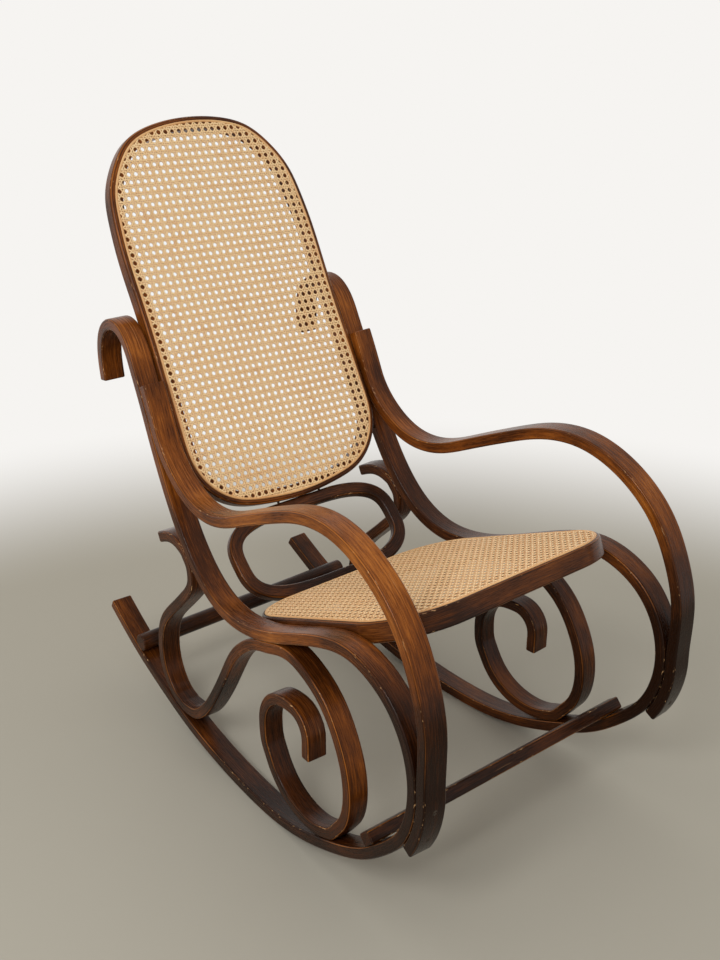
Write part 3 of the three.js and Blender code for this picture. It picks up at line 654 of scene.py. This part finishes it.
def weave_cane(name, plane, outline, fall_share, seed):
    """The six-way weave: upright and cross pairs, and two diagonals that pass mid-way between them.

    Pairs cross in a plain weave of two by two. Each diagonal runs over the pairs of one direction
    and under those of the other, so that the holes are eight-sided.
    """
    across, up = CANE_PITCH_ACROSS * np.array([1, fall_share]), CANE_PITCH_UP * np.array([0, 1])
    reach = np.abs(outline).max(axis=0) + CANE_PITCH_ACROSS
    upright_count = math.ceil(reach[0] / CANE_PITCH_ACROSS)
    rung_count = math.ceil((reach[1] + abs(outline[:, 1].mean())) / CANE_PITCH_UP) + 2
    uprights, rungs = Strands(seed), Strands(seed + 1)
    lay_pairs(uprights, outline, upright_count, across, up, 0)
    lay_pairs(rungs, outline, rung_count, up, across, 1)
    pieces = [uprights.make(f"{name}_cane_uprights", plane), rungs.make(f"{name}_cane_rungs", plane)]
    for label, lean in (("rising", 1), ("falling", -1)):
        strands = Strands(seed + 2 + lean)
        cell = across + lean * up
        length = np.linalg.norm(cell)
        stops = np.arange(4) * length / 4
        lifts = CANE_DIAGONAL_LIFT * lean * np.array([1, 0, -1, 0])
        span = rung_count + upright_count
        for k in range(-span, span + 1):
            lay_strand(strands, outline, (k + 0.5) * up, cell / length, length, stops, lifts,
                       CANE_DIAGONAL_WIDTH)
        pieces.append(strands.make(f"{name}_cane_{label}", plane))
    return pieces


def hoop_outline(inset):
    """The hoop's middle line moved in by an inset: an oval, a little squarer at its top.

    Its width follows the cosine and its height the sine, each to the power of two over the oval's power.
    """
    half_width = (HOOP_WIDTH - HOOP_STRIP_WIDTH) / 2
    angle = 2 * math.pi * np.arange(HOOP_SAMPLES) / HOOP_SAMPLES
    power = 2 / np.where(np.sin(angle) > 0, HOOP_TOP_POWER, HOOP_BOTTOM_POWER)
    across = np.sign(np.cos(angle)) * np.abs(np.cos(angle)) ** power
    up = np.sign(np.sin(angle)) * np.abs(np.sin(angle)) ** power
    dense = np.stack([half_width * across, hoop_half_height * up], axis=1)
    steps = np.linalg.norm(np.roll(dense, -1, axis=0) - dense, axis=1)
    lengths = np.concatenate([[0], np.cumsum(steps)])
    wanted = lengths[-1] * np.arange(OUTLINE_COUNT) / OUTLINE_COUNT
    around = np.concatenate([dense, dense[:1]])
    points = np.stack([np.interp(wanted, lengths, around[:, k]) for k in range(2)], axis=1)
    way = np.roll(points, -1, axis=0) - np.roll(points, 1, axis=0)
    normals = outward_of(way / np.linalg.norm(way, axis=1, keepdims=True))
    return points - inset * normals, normals


def hoop_end(plane, local):
    """A place on a tilted plane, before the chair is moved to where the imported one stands."""
    return plane.axes.T @ np.asarray(local, float) + plane.origin


hoop_foot = hoop_end(seat_plane, [0, SEAT_REAR_REACH + HOOP_FOOT_SETBACK, -HOOP_FOOT_DROP])
hoop_head = hoop_end(back_plane, [0, -BACK_DROP - HOOP_HEAD_DROP, -HOOP_HEAD_SETBACK])
hoop_half_height = np.linalg.norm(hoop_head - hoop_foot) / 2
hoop_plane = Tilted((hoop_foot + hoop_head)[1:] / 2, (hoop_head - hoop_foot)[1:])


def plane_flat(piece, plane, limit, past):
    """Planes a piece flat where it bears on another.

    Points on the wrong side of a line across a tilted plane are moved onto it. Past is 1 where the piece
    lies past that line along the slope, and -1 where it lies before it.
    """
    mesh = piece.data
    points = np.zeros(len(mesh.vertices) * 3, np.float32)
    mesh.vertices.foreach_get("co", points)
    local = plane.back(points.reshape(-1, 3).astype(float))
    local[:, 1] = past * np.maximum(past * local[:, 1], past * limit)
    mesh.vertices.foreach_set("co", plane.place(local).astype(np.float32).ravel())
    mesh.update()


def make_hoop():
    section, normals = rectangle_section(HOOP_STRIP_WIDTH, HOOP_DEPTH, HOOP_ROUNDING)
    hoop = make_ring("back_hoop_wood", hoop_plane, hoop_outline, section, normals)
    plane_flat(hoop, seat_plane, SEAT_REAR_REACH + SEATING_GAP, 1)
    plane_flat(hoop, back_plane, -BACK_DROP - SEATING_GAP, -1)
    return hoop


def round_section(diameter, sides):
    angle = 2 * math.pi * np.arange(sides) / sides
    spoke = np.stack([np.cos(angle), np.sin(angle)], axis=1)
    return spoke * diameter / 2, spoke


def make_cross_rail(name, shares, thickness, section):
    """A straight rail across both side frames, seated on them and flush with their outer faces."""
    length_at = bend_line.length_near(side_points(shares))
    place, way = bend_line.at_length(np.array([length_at]))
    splay_lift = STRIP_WIDTH / 2 * math.tan(SPLAY) * abs(outward_of(way)[0, 0])
    lift = -(STRIP_THICKNESS / 2 + SEATING_GAP + splay_lift + thickness / 2)
    centre = in_chair(length_at, lift)
    plane = Tilted(centre, way[0])
    total = FRAME_WIDTH - 2 * math.tan(SPLAY) * centre[0]
    lengths = strip_lengths(total, RAIL_STEP)
    points, across, along = round_ends(*section, lengths, total)
    column = points.shape[:2] + (1,)
    reach = np.broadcast_to((lengths - total / 2)[:, None, None], column)
    local = np.concatenate([reach, points], axis=-1)
    normal = np.concatenate([np.broadcast_to(along, column), across], axis=-1)
    return make_carried(name, plane.place(local), plane.turn(normal), lengths, *section, False)


def make_head(name, sign, stretch, share):
    """A slotted screw head on a strip: a low dome, with a straight slot across it.

    Its height falls from ring to ring by named shares, and drops to the slot's bottom inside the slot.
    """
    ends = [bend_line.length_near(side_points(place)) for place in stretch]
    place, way = bend_line.at_length(np.array([ends[0] + share * (ends[1] - ends[0])]))
    outward = outward_of(way)[0]
    base = place[0] + outward * (STRIP_THICKNESS * 3 / 2 + SEATING_GAP)
    radii = HEAD_RADIUS * np.array(HEAD_RADIUS_SHARES)
    lifts = HEAD_PROUD * np.array(HEAD_LIFT_SHARES)
    angle = 2 * math.pi * np.arange(HEAD_SIDES) / HEAD_SIDES
    x = radii[:, None] * np.cos(angle)
    y = radii[:, None] * np.sin(angle)
    slot = 1 - np.clip((np.abs(y) - SLOT_WIDTH / 2) / (SLOT_WIDTH * SLOT_WALL_SHARE), 0, 1)
    inside = (radii < HEAD_RADIUS)[:, None]
    z = lifts[:, None] - slot * inside * HEAD_PROUD * SLOT_DEPTH_SHARE
    local = np.stack([x, way[0][0] * y + outward[0] * z, way[0][1] * y + outward[1] * z], axis=-1)
    local[..., 1:] += base
    placed, _ = in_side_frame(sign)(local, np.zeros_like(local))
    row_of, column_of = grid_corners(len(radii) - 1, HEAD_SIDES)
    faces = row_of * HEAD_SIDES + column_of
    flat = placed.reshape(-1, 3)
    caps = end_caps(placed)
    if signed_volume(flat - flat.mean(axis=0), faces) < 0:
        faces = faces[:, ::-1]
    cap_values = {"grain": flat[np.concatenate(caps)]}
    return make_piece(name, flat, faces, {"grain": flat[faces]}, None, caps, cap_values)


class Value:
    """A socket of a node, with operators that add Math nodes."""

    def __init__(self, nodes, socket):
        self.nodes = nodes
        self.socket = socket

    def math(self, operation, first, second=0.0):
        return self.nodes.node("ShaderNodeMath", {"operation": operation}, {0: first, 1: second})

    def __add__(self, other):
        return self.math("ADD", self, other)

    __radd__ = __add__

    def __sub__(self, other):
        return self.math("SUBTRACT", self, other)

    def __rsub__(self, other):
        return self.math("SUBTRACT", other, self)

    def __mul__(self, other):
        return self.math("MULTIPLY", self, other)

    __rmul__ = __mul__

    def __abs__(self):
        return self.math("ABSOLUTE", self)

    def between(self, low, high):
        """Rises smoothly from 0 where this is low to 1 where it is high."""
        limits = {"Value": self, "From Min": low, "From Max": high, "To Min": 0.0, "To Max": 1.0}
        return self.nodes.node("ShaderNodeMapRange", {"interpolation_type": "SMOOTHSTEP"}, limits)


class Nodes:
    """The nodes of a material or of the room, all made in one way and ending at one output."""

    def __init__(self, tree, output):
        self.tree = tree
        self.tree.nodes.clear()
        self.output = self.tree.nodes.new(output)

    def node(self, kind, settings=None, inputs=None, output=0):
        """Makes a node with its settings, then fills or links its sockets, and gives one of its outputs."""
        made = self.tree.nodes.new(kind)
        for key, setting in (settings or {}).items():
            if key == "stops":
                self.set_stops(made.color_ramp, setting)
            else:
                setattr(made, key, setting)
        for key, value in (inputs or {}).items():
            if isinstance(value, Value):
                self.tree.links.new(value.socket, made.inputs[key])
            else:
                made.inputs[key].default_value = value
        return Value(self, made.outputs[output])

    @staticmethod
    def set_stops(ramp, stops):
        while len(ramp.elements) < len(stops):
            ramp.elements.new(1.0)
        for element, (place, colour) in zip(ramp.elements, stops):
            element.position = place
            element.color = opaque(colour)

    def distance(self, place, middle):
        settings = {"operation": "DISTANCE"}
        return self.node("ShaderNodeVectorMath", settings, {0: place, 1: middle}, "Value")

    def end_at(self, shader):
        self.tree.links.new(shader.socket, self.output.inputs["Surface"])

    def seen(self):
        """1 for what the eye sees, also in a reflection or through glass, and 0 for light on a piece."""
        rays = ("Is Camera Ray", "Is Glossy Ray", "Is Transmission Ray")
        camera, glossy, through = (self.node("ShaderNodeLightPath", None, None, ray) for ray in rays)
        return camera + glossy + through


class Finish(Nodes):
    """A material, built around one surface shader."""

    def __init__(self, name):
        self.material = bpy.data.materials.new(name)
        self.material.use_nodes = True
        super().__init__(self.material.node_tree, "ShaderNodeOutputMaterial")

    def surface(self, **sockets):
        named = {key.replace("_", " "): value for key, value in sockets.items()}
        self.end_at(self.node("ShaderNodeBsdfPrincipled", None, named))
        return self.material

    def place(self):
        return self.node("ShaderNodeTexCoord", None, None, "Object")

    def attribute(self, name, output):
        return self.node("ShaderNodeAttribute", {"attribute_name": name}, None, output)

    def parts(self, vector):
        return [self.node("ShaderNodeSeparateXYZ", None, {0: vector}, axis) for axis in range(3)]

    def noise(self, vector, scale, detail, roughness):
        inputs = {"Vector": vector, "Scale": scale, "Detail": detail, "Roughness": roughness}
        return self.node("ShaderNodeTexNoise", None, inputs)

    def streaks(self, grain, scales, detail, roughness):
        """Noise with its own scale along, across and through a strip, in marks to the metre."""
        stretched = self.node("ShaderNodeVectorMath", {"operation": "MULTIPLY"}, {0: grain, 1: scales})
        return self.noise(stretched, 1.0, detail, roughness)

    def mix(self, factor, first, second):
        """The first colour, turned into the second by a factor. A Mix node's colours are sockets 6 and 7."""
        return self.node("ShaderNodeMix", {"data_type": "RGBA"}, {0: factor, 6: first, 7: second}, 2)

    def ramp(self, factor, stops):
        return self.node("ShaderNodeValToRGB", {"stops": stops}, {"Fac": factor})

    def bump(self, height, strength, distance):
        inputs = {"Height": height, "Strength": strength, "Distance": distance}
        return self.node("ShaderNodeBump", None, inputs)


def linear(red, green, blue):
    """A colour given as it shows, from 0 to 255, as light."""
    shown = np.array([red, green, blue]) / 255
    return tuple(np.where(shown <= 0.04045, shown / 12.92, ((shown + 0.055) / 1.055) ** 2.4).tolist())


def opaque(colour, level=1.0):
    """A colour as a socket takes it, dimmed to a level and not see-through."""
    return (*(channel * level for channel in colour), 1.0)


def rubbed_paler_and_painted_light(finish, place):
    """How much paler the wood is at a place, from real wear and from painted light and shade.

    It grows paler with height as painted light, which leaves the low parts in painted shade. The stain is
    rubbed thin on the arms. The tails of the runners are painted paler as a painted sheen on their lit tops.
    One stretch of the near rail is painted paler as a pool of painted light. Low on the front the wood is
    darker as painted shade.
    """
    side, depth, level = finish.parts(place)
    handled = level.between(*ARM_HEIGHTS) * (1 - depth.between(*ARM_DEPTHS))
    # Painted shade: low on the front the wood is painted darker.
    shaded = (1 - level.between(*SHADED_HEIGHTS)) * (1 - depth.between(*SHADED_DEPTHS))
    # Painted sheen: the lit tops of the runners' tails are painted paler.
    tail = depth.between(*TAIL_DEPTHS) * (1 - level.between(*TAIL_HEIGHTS)) * abs(side).between(*TAIL_SIDES)
    # Painted light: a pool of window light on a stretch of the near rail, painted paler.
    rail = 1 - finish.distance(place, PAINTED_LIGHT_RAIL_PLACE).between(*PAINTED_LIGHT_RAIL_REACH)
    # Painted light and shade: paler with height, darker low towards the floor.
    paler = level.between(*PALER_HEIGHTS) * 0.105 - 0.07
    return paler + handled * 0.045 + tail * 0.07 + rail * 0.05 - shaded * 0.08


def stained_beech(name, dark, middle, warm, golden, worn):
    """Beech with a walnut stain and a satin varnish.

    The stain lies in clouds and patches, golden where it is rubbed thin, with painted light and shade over
    it. Bands, fibres and flecks run lengthwise. The arrises are dark on both sides of a rubbed line, with
    chips along them.
    """
    finish = Finish(name)
    grain = finish.attribute("grain", "Vector")
    arris = finish.attribute("arris", "Fac")
    place = finish.place()
    clouds = finish.noise(place, *WOOD_CLOUDS)
    patches = finish.streaks(grain, *WOOD_PATCHES)
    bands = finish.streaks(grain, *WOOD_BANDS)
    fibres = finish.streaks(grain, *WOOD_FIBRES)
    flecks = finish.streaks(grain, *WOOD_FLECKS)
    # The tone adds real rubbing on the arms, and painted light and shade from the height, the runner tails,
    # the near rail and the low front.
    tone = clouds * 0.34 + patches * 0.20 + bands * 0.22 + fibres * 0.24 + rubbed_paler_and_painted_light(finish, place)
    colour = finish.ramp(tone, [(0.38, dark), (0.49, middle), (0.58, warm), (0.69, golden)])
    fleck = flecks.between(0.60, 0.72)
    colour = finish.mix(fleck * 0.55, colour, opaque(dark, 0.3))
    beside = arris.between(0.15, 0.6) * (1 - arris.between(0.7, 0.95))
    colour = finish.mix(beside * 0.55, colour, opaque(dark, 0.4))
    rubbed = arris.between(0.8, 1.0) * clouds.between(0.42, 0.6)
    colour = finish.mix(rubbed * 0.6, colour, opaque(golden))
    chips = finish.streaks(grain, *WOOD_CHIPS)
    groups = finish.streaks(grain, *WOOD_CHIP_GROUPS)
    scuff = arris.between(0.35, 0.8) * chips.between(0.61, 0.66) * groups.between(0.47, 0.58)
    scratches = finish.streaks(grain, *WOOD_SCRATCHES)
    scratch = scratches.between(0.77, 0.80) * clouds.between(0.5, 0.6)
    colour = finish.mix(scuff * 0.9 + scratch * 0.5, colour, opaque(worn))
    rough = 0.17 + fibres * 0.12 + clouds * 0.10 + scuff * 0.25
    height = fibres * 0.6 + bands * 0.4 - fleck * 0.6 - scuff * 1.4
    normal = finish.bump(height, 0.35, WOOD_RELIEF)
    return finish.surface(Base_Color=colour, Roughness=rough, Normal=normal,
                          Specular_IOR_Level=VARNISH_SPECULAR)


def split_cane(name, pale, middle, dark):
    """Split cane with its smooth skin: edges darkened as painted shade between the strands, fine fibres, odd
    strands, knots and stains.
    """
    finish = Finish(name)
    grain = finish.attribute("grain", "Vector")
    _, across, strand = finish.parts(grain)
    place = finish.place()
    fibres = finish.streaks(grain, *CANE_FIBRES)
    drift = finish.streaks(grain, *CANE_DRIFT)
    stain = finish.noise(place, *CANE_STAINS)
    tone = strand * 0.22 + drift * 0.46 + fibres * 0.32
    colour = finish.ramp(tone, [(0.24, middle), (0.50, pale), (0.8, pale)])
    # Painted shade: each strand darkens towards its edges, as in the gaps between strands.
    edge = abs(across).between(*CANE_SHADED_EDGE)
    colour = finish.mix(edge * 0.8, colour, opaque(dark))
    knot = finish.streaks(grain, *CANE_KNOTS).between(0.68, 0.70)
    colour = finish.mix(knot * 0.22, colour, opaque(dark))
    browner = strand.between(0.88, 0.97) * drift.between(0.35, 0.6)
    colour = finish.mix(browner * 0.07, colour, opaque(dark))
    colour = finish.mix(stain.between(0.60, 0.78) * 0.25, colour, opaque(dark))
    rough = 0.46 + fibres * 0.18
    normal = finish.bump(fibres, 0.3, CANE_RELIEF)
    return finish.surface(Base_Color=colour, Roughness=rough, Normal=normal)


def cane_spline(name, pale, dark):
    """The smooth split reed pressed into the groove: long fibres and a soft shine."""
    finish = Finish(name)
    grain = finish.attribute("grain", "Vector")
    fibres = finish.streaks(grain, *SPLINE_FIBRES)
    drift = finish.streaks(grain, *SPLINE_DRIFT)
    colour = finish.ramp(fibres * 0.5 + drift * 0.5, [(0.34, dark), (0.6, pale)])
    rough = 0.42 + fibres * 0.16
    normal = finish.bump(fibres, 0.3, SPLINE_RELIEF)
    return finish.surface(Base_Color=colour, Roughness=rough, Normal=normal)


def dark_steel(name, bright, dull):
    """Steel that has darkened: brown patches over a dull sheen."""
    finish = Finish(name)
    place = finish.place()
    patches = finish.noise(place, *STEEL_PATCHES)
    colour = finish.ramp(patches, [(0.35, dull), (0.7, bright)])
    rough = 0.38 + patches * 0.3
    metal = 0.9 - patches * 0.35
    normal = finish.bump(patches, 0.2, STEEL_RELIEF)
    return finish.surface(Base_Color=colour, Roughness=rough, Metallic=metal, Normal=normal)


def pale_floor():
    """A plain pale floor that turns white with distance for the eye and for reflections."""
    finish = Finish("pale_floor")
    place = finish.place()
    far = finish.distance(place, FLOOR_MIDDLE).between(*FLOOR_FADE)
    diffuse = finish.node("ShaderNodeBsdfDiffuse", None, {"Color": opaque(FLOOR_PALE)})
    glow = finish.node("ShaderNodeEmission", None, {"Color": opaque(ROOM_PALE), "Strength": 1.0})
    finish.end_at(finish.node("ShaderNodeMixShader", None, {0: far * finish.seen(), 1: diffuse, 2: glow}))
    return finish.material


def add_stage():
    corners = np.array([(-1, -1, 0), (1, -1, 0), (1, 1, 0), (-1, 1, 0)]) * FLOOR_REACH
    mesh = bpy.data.meshes.new("floor")
    mesh.from_pydata(corners.tolist(), [], [(0, 1, 2, 3)])
    floor = bpy.data.objects.new("floor", mesh)
    bpy.context.scene.collection.objects.link(floor)
    mesh.materials.append(pale_floor())


def add_lamp(name, place, size, power):
    """A round lamp turned towards the middle of the chair."""
    lamp = bpy.data.lights.new(name, "AREA")
    lamp.shape = "DISK"
    lamp.size = size
    lamp.energy = power
    holder = bpy.data.objects.new(name, lamp)
    holder.location = place
    toward = np.array(CHAIR_MIDDLE) - np.array(place)
    turn_z = math.atan2(toward[0], -toward[1])
    lean = math.atan2(math.hypot(toward[0], toward[1]), -toward[2])
    holder.rotation_euler = (lean, 0, turn_z + math.pi)
    bpy.context.scene.collection.objects.link(holder)


def add_light():
    """A soft room, brighter behind the chair, and one large lamp in front on the left.

    To the eye the room is evenly pale.
    """
    world = bpy.data.worlds.new("soft_light")
    world.use_nodes = True
    room = Nodes(world.node_tree, "ShaderNodeOutputWorld")
    heading = room.node("ShaderNodeTexCoord", None, None, "Generated")
    ways = {0: heading, 1: ROOM_BRIGHT_WAY}
    toward = room.node("ShaderNodeVectorMath", {"operation": "DOT_PRODUCT"}, ways, "Value")
    low, high = ROOM_LEVELS
    level = toward.between(*ROOM_TURN) * (high - low) + low
    lit = room.node("ShaderNodeBackground", None, {"Color": opaque(ROOM_PALE), "Strength": level})
    shown = room.node("ShaderNodeBackground", None, {"Color": opaque(ROOM_PALE), "Strength": 1.0})
    room.end_at(room.node("ShaderNodeMixShader", None, {0: room.seen(), 1: lit, 2: shown}))
    bpy.context.scene.world = world
    add_lamp("key_lamp", KEY_PLACE, KEY_SIZE, KEY_POWER)


def add_camera():
    """The photograph's camera: its place, its look downwards and its turn about Z."""
    camera = bpy.data.cameras.new("camera")
    camera.sensor_width = CAMERA_SENSOR
    camera.lens = CAMERA_LENS
    holder = bpy.data.objects.new("camera", camera)
    holder.location = CAMERA_PLACE
    holder.rotation_euler = (math.radians(90 - CAMERA_LOOK_DOWN), 0, math.radians(CAMERA_TURN))
    bpy.context.scene.collection.objects.link(holder)
    bpy.context.scene.camera = holder


def dress(piece, material, slot, *nodes):
    """Gives a piece its material, and lets it stand for its solids. Its slot is not used."""
    piece.data.materials.append(material)
    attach(piece, "root")
    if nodes:
        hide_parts(*nodes)


# Colours. A stained wood has five: dark, middle, warm, golden and worn.
BEECH = (
    linear(34, 14, 3), linear(74, 36, 9), linear(126, 67, 19),
    linear(180, 108, 42), linear(200, 156, 108),
)
# A darker copy of the beech: painted shade for the dowel, the hoop and the seat ring.
SHADE_PAINTED_BEECH = (
    linear(20, 9, 3), linear(50, 24, 8), linear(94, 49, 16),
    linear(152, 90, 38), linear(190, 146, 102),
)
CANE_PALE = linear(252, 222, 170)
CANE_MIDDLE = linear(232, 184, 122)
CANE_DARK = linear(190, 114, 52)
SPLINE_PALE = linear(236, 190, 132)
SPLINE_DARK = linear(206, 144, 84)
STEEL_BRIGHT = linear(96, 84, 72)
STEEL_DULL = linear(38, 30, 25)

# Marks in the finishes: how many to the metre, their detail and their roughness. Streaks have a number
# of their own along, across and through a strip.
WOOD_CLOUDS = (5.5, 3.0, 0.5)
WOOD_PATCHES = ((7.0, 34.0, 34.0), 3.0, 0.6)
WOOD_BANDS = ((4.0, 300.0, 300.0), 3.0, 0.65)
WOOD_FIBRES = ((42.0, 820.0, 820.0), 2.0, 0.6)
WOOD_FLECKS = ((230.0, 2400.0, 2400.0), 1.0, 0.5)
WOOD_CHIPS = ((120.0, 420.0, 420.0), 2.0, 0.6)
WOOD_CHIP_GROUPS = ((11.0, 11.0, 11.0), 1.0, 0.5)
WOOD_SCRATCHES = ((9.0, 620.0, 620.0), 1.0, 0.5)
CANE_FIBRES = ((60.0, 4200.0, 90.0), 2.0, 0.6)
CANE_DRIFT = ((16.0, 300.0, 70.0), 2.0, 0.5)
CANE_KNOTS = ((7.0, 0.0, 40.0), 0.0, 0.5)
CANE_STAINS = (11.0, 3.0, 0.6)
SPLINE_FIBRES = ((16.0, 2200.0, 2200.0), 3.0, 0.6)
SPLINE_DRIFT = ((6.0, 60.0, 60.0), 2.0, 0.5)
STEEL_PATCHES = (420.0, 3.0, 0.6)

# How deep the marks are, how far from a strand's middle its edge takes painted shade, and the varnish's shine
WOOD_RELIEF = 0.0004
CANE_RELIEF = 0.0002
SPLINE_RELIEF = 0.0003
STEEL_RELIEF = 0.0002
CANE_SHADED_EDGE = (0.0006, 0.0014)
VARNISH_SPECULAR = 0.14

# Where the wood is rubbed paler on the arms, painted paler as light on the runner tails, on the near rail and
# with height, and painted darker as shade low on the front: heights, depths and distances from the middle
PALER_HEIGHTS = (0.12, 0.58)
ARM_HEIGHTS = (0.44, 0.58)
ARM_DEPTHS = (-0.36, -0.16)
SHADED_HEIGHTS = (0.38, 0.60)
SHADED_DEPTHS = (-0.46, -0.34)
TAIL_DEPTHS = (0.26, 0.36)
TAIL_HEIGHTS = (0.22, 0.30)
TAIL_SIDES = (0.21, 0.241)
# A painted pool of light on the near rail: its middle and its reach.
PAINTED_LIGHT_RAIL_PLACE = (-0.27, -0.03, 0.41)
PAINTED_LIGHT_RAIL_REACH = (0.08, 0.26)

# Floor, room, lamp and camera
FLOOR_PALE = linear(176, 171, 158)
FLOOR_MIDDLE = (-0.50, -0.62, 0.0)
FLOOR_FADE = (1.55, 2.45)
FLOOR_REACH = 40.0
ROOM_PALE = linear(246, 244, 241)
ROOM_BRIGHT_WAY = (0.58, 0.72, 0.38)
ROOM_TURN = (-0.2, 0.9)
ROOM_LEVELS = (0.54, 1.0)
CHAIR_MIDDLE = (0.0, 0.0, 0.5)
KEY_PLACE = (-2.7, -1.5, 3.0)
KEY_SIZE = 1.6
KEY_POWER = 66.0
CAMERA_PLACE = (-1.282, -1.6057, 1.4988)
CAMERA_LENS = 47.94
CAMERA_SENSOR = 36.0
CAMERA_LOOK_DOWN = 24.908
CAMERA_TURN = -38.858


def add_side_frames(wood, steel):
    strip = rectangle_section(STRIP_WIDTH, STRIP_THICKNESS, STRIP_ROUNDING)
    scroll = rectangle_section(SCROLL_WIDTH, STRIP_THICKNESS, STRIP_ROUNDING)
    for side, sign in SIDES:
        place = in_side_frame(sign)
        for label, line, section, slot, node in (
                ("bend", bend_line, strip, "bent_wood", "frame_bend"),
                ("arm", arm_line, strip, "arm_wood", "arm"),
                ("scroll", scroll_line, scroll, "bent_wood", "scroll")):
            piece = make_strip(f"{side}_{label}_wood", line, place, section)
            dress(piece, wood, slot, f"{side}_{node}")
        for i, share in enumerate(ARM_LOOP_SCREW_SHARES, 1):
            head = make_head(f"{side}_arm_loop_head_{i}", sign, LOOP_SEAT_SHARES, share)
            dress(head, steel, "screw_steel", f"{side}_arm_loop_screw_{i}")


def add_cross_rails(wood, shade_painted_wood):
    round_bar = round_section(DOWEL_DIAMETER, DOWEL_SIDES)
    # The dowel and the hoop take the beech darkened as painted shade.
    dowel = make_cross_rail("rear_dowel_wood", DOWEL_SHARES, DOWEL_DIAMETER, round_bar)
    dress(dowel, shade_painted_wood, "bent_wood", "rear_dowel")
    flat_bar = rectangle_section(STRETCHER_WIDTH, STRETCHER_THICKNESS, STRIP_ROUNDING)
    stretcher = make_cross_rail("front_stretcher_wood", STRETCHER_SHARES, STRETCHER_THICKNESS, flat_bar)
    dress(stretcher, wood, "bent_wood", "front_stretcher")
    dress(make_hoop(), shade_painted_wood, "bent_wood", "back_hoop")


def add_caned_ring(label, plane, outline, sizes, wood, reed, cane, fall_share, seed):
    rim_width = sizes[2]
    ring = make_ring(f"{label}_ring_wood", plane, outline, *caned_ring_section(*sizes))
    dress(ring, wood, "ring_wood", f"{label}_ring")
    spline = make_ring(f"{label}_spline_reed", plane, outline, *spline_section(rim_width))
    dress(spline, reed, "cane_spline", f"{label}_spline")
    edge = outline(rim_width + SPLINE_WIDTH / 2)[0]
    for piece in weave_cane(label, plane, edge, fall_share, seed):
        dress(piece, cane, "cane", f"{label}_cane")


def darken_fasteners(steel):
    """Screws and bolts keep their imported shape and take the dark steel."""
    for name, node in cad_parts.items():
        if "_screw" in name or "_bolt" in name:
            node.data.materials.clear()
            node.data.materials.append(steel)


def build_chair():
    wood = stained_beech("walnut_stained_beech", *BEECH)
    # The darker copy of the stained beech is painted shade.
    shade_painted_wood = stained_beech("shade_painted_stained_beech", *SHADE_PAINTED_BEECH)
    cane = split_cane("split_cane", CANE_PALE, CANE_MIDDLE, CANE_DARK)
    reed = cane_spline("spline_reed", SPLINE_PALE, SPLINE_DARK)
    steel = dark_steel("dark_steel", STEEL_BRIGHT, STEEL_DULL)
    add_side_frames(wood, steel)
    add_cross_rails(wood, shade_painted_wood)
    seat_sizes = (SEAT_RING_WIDTH, SEAT_THICKNESS, SEAT_RIM_WIDTH, SEAT_ROUNDING)
    # The seat ring takes the beech darkened as painted shade.
    add_caned_ring("seat", seat_plane, seat_outline, seat_sizes, shade_painted_wood, reed, cane,
                   SEAT_CANE_FALL_SHARE, SEAT_CANE_SEED)
    back_sizes = (BACK_RING_WIDTH, BACK_THICKNESS, BACK_RIM_WIDTH, BACK_ROUNDING)
    add_caned_ring("back", back_plane, back_outline, back_sizes, wood, reed, cane,
                   BACK_CANE_FALL_SHARE, BACK_CANE_SEED)
    darken_fasteners(steel)


add_camera()
add_light()
add_stage()
build_chair()
bpy.context.scene.view_settings.view_transform = "Standard"
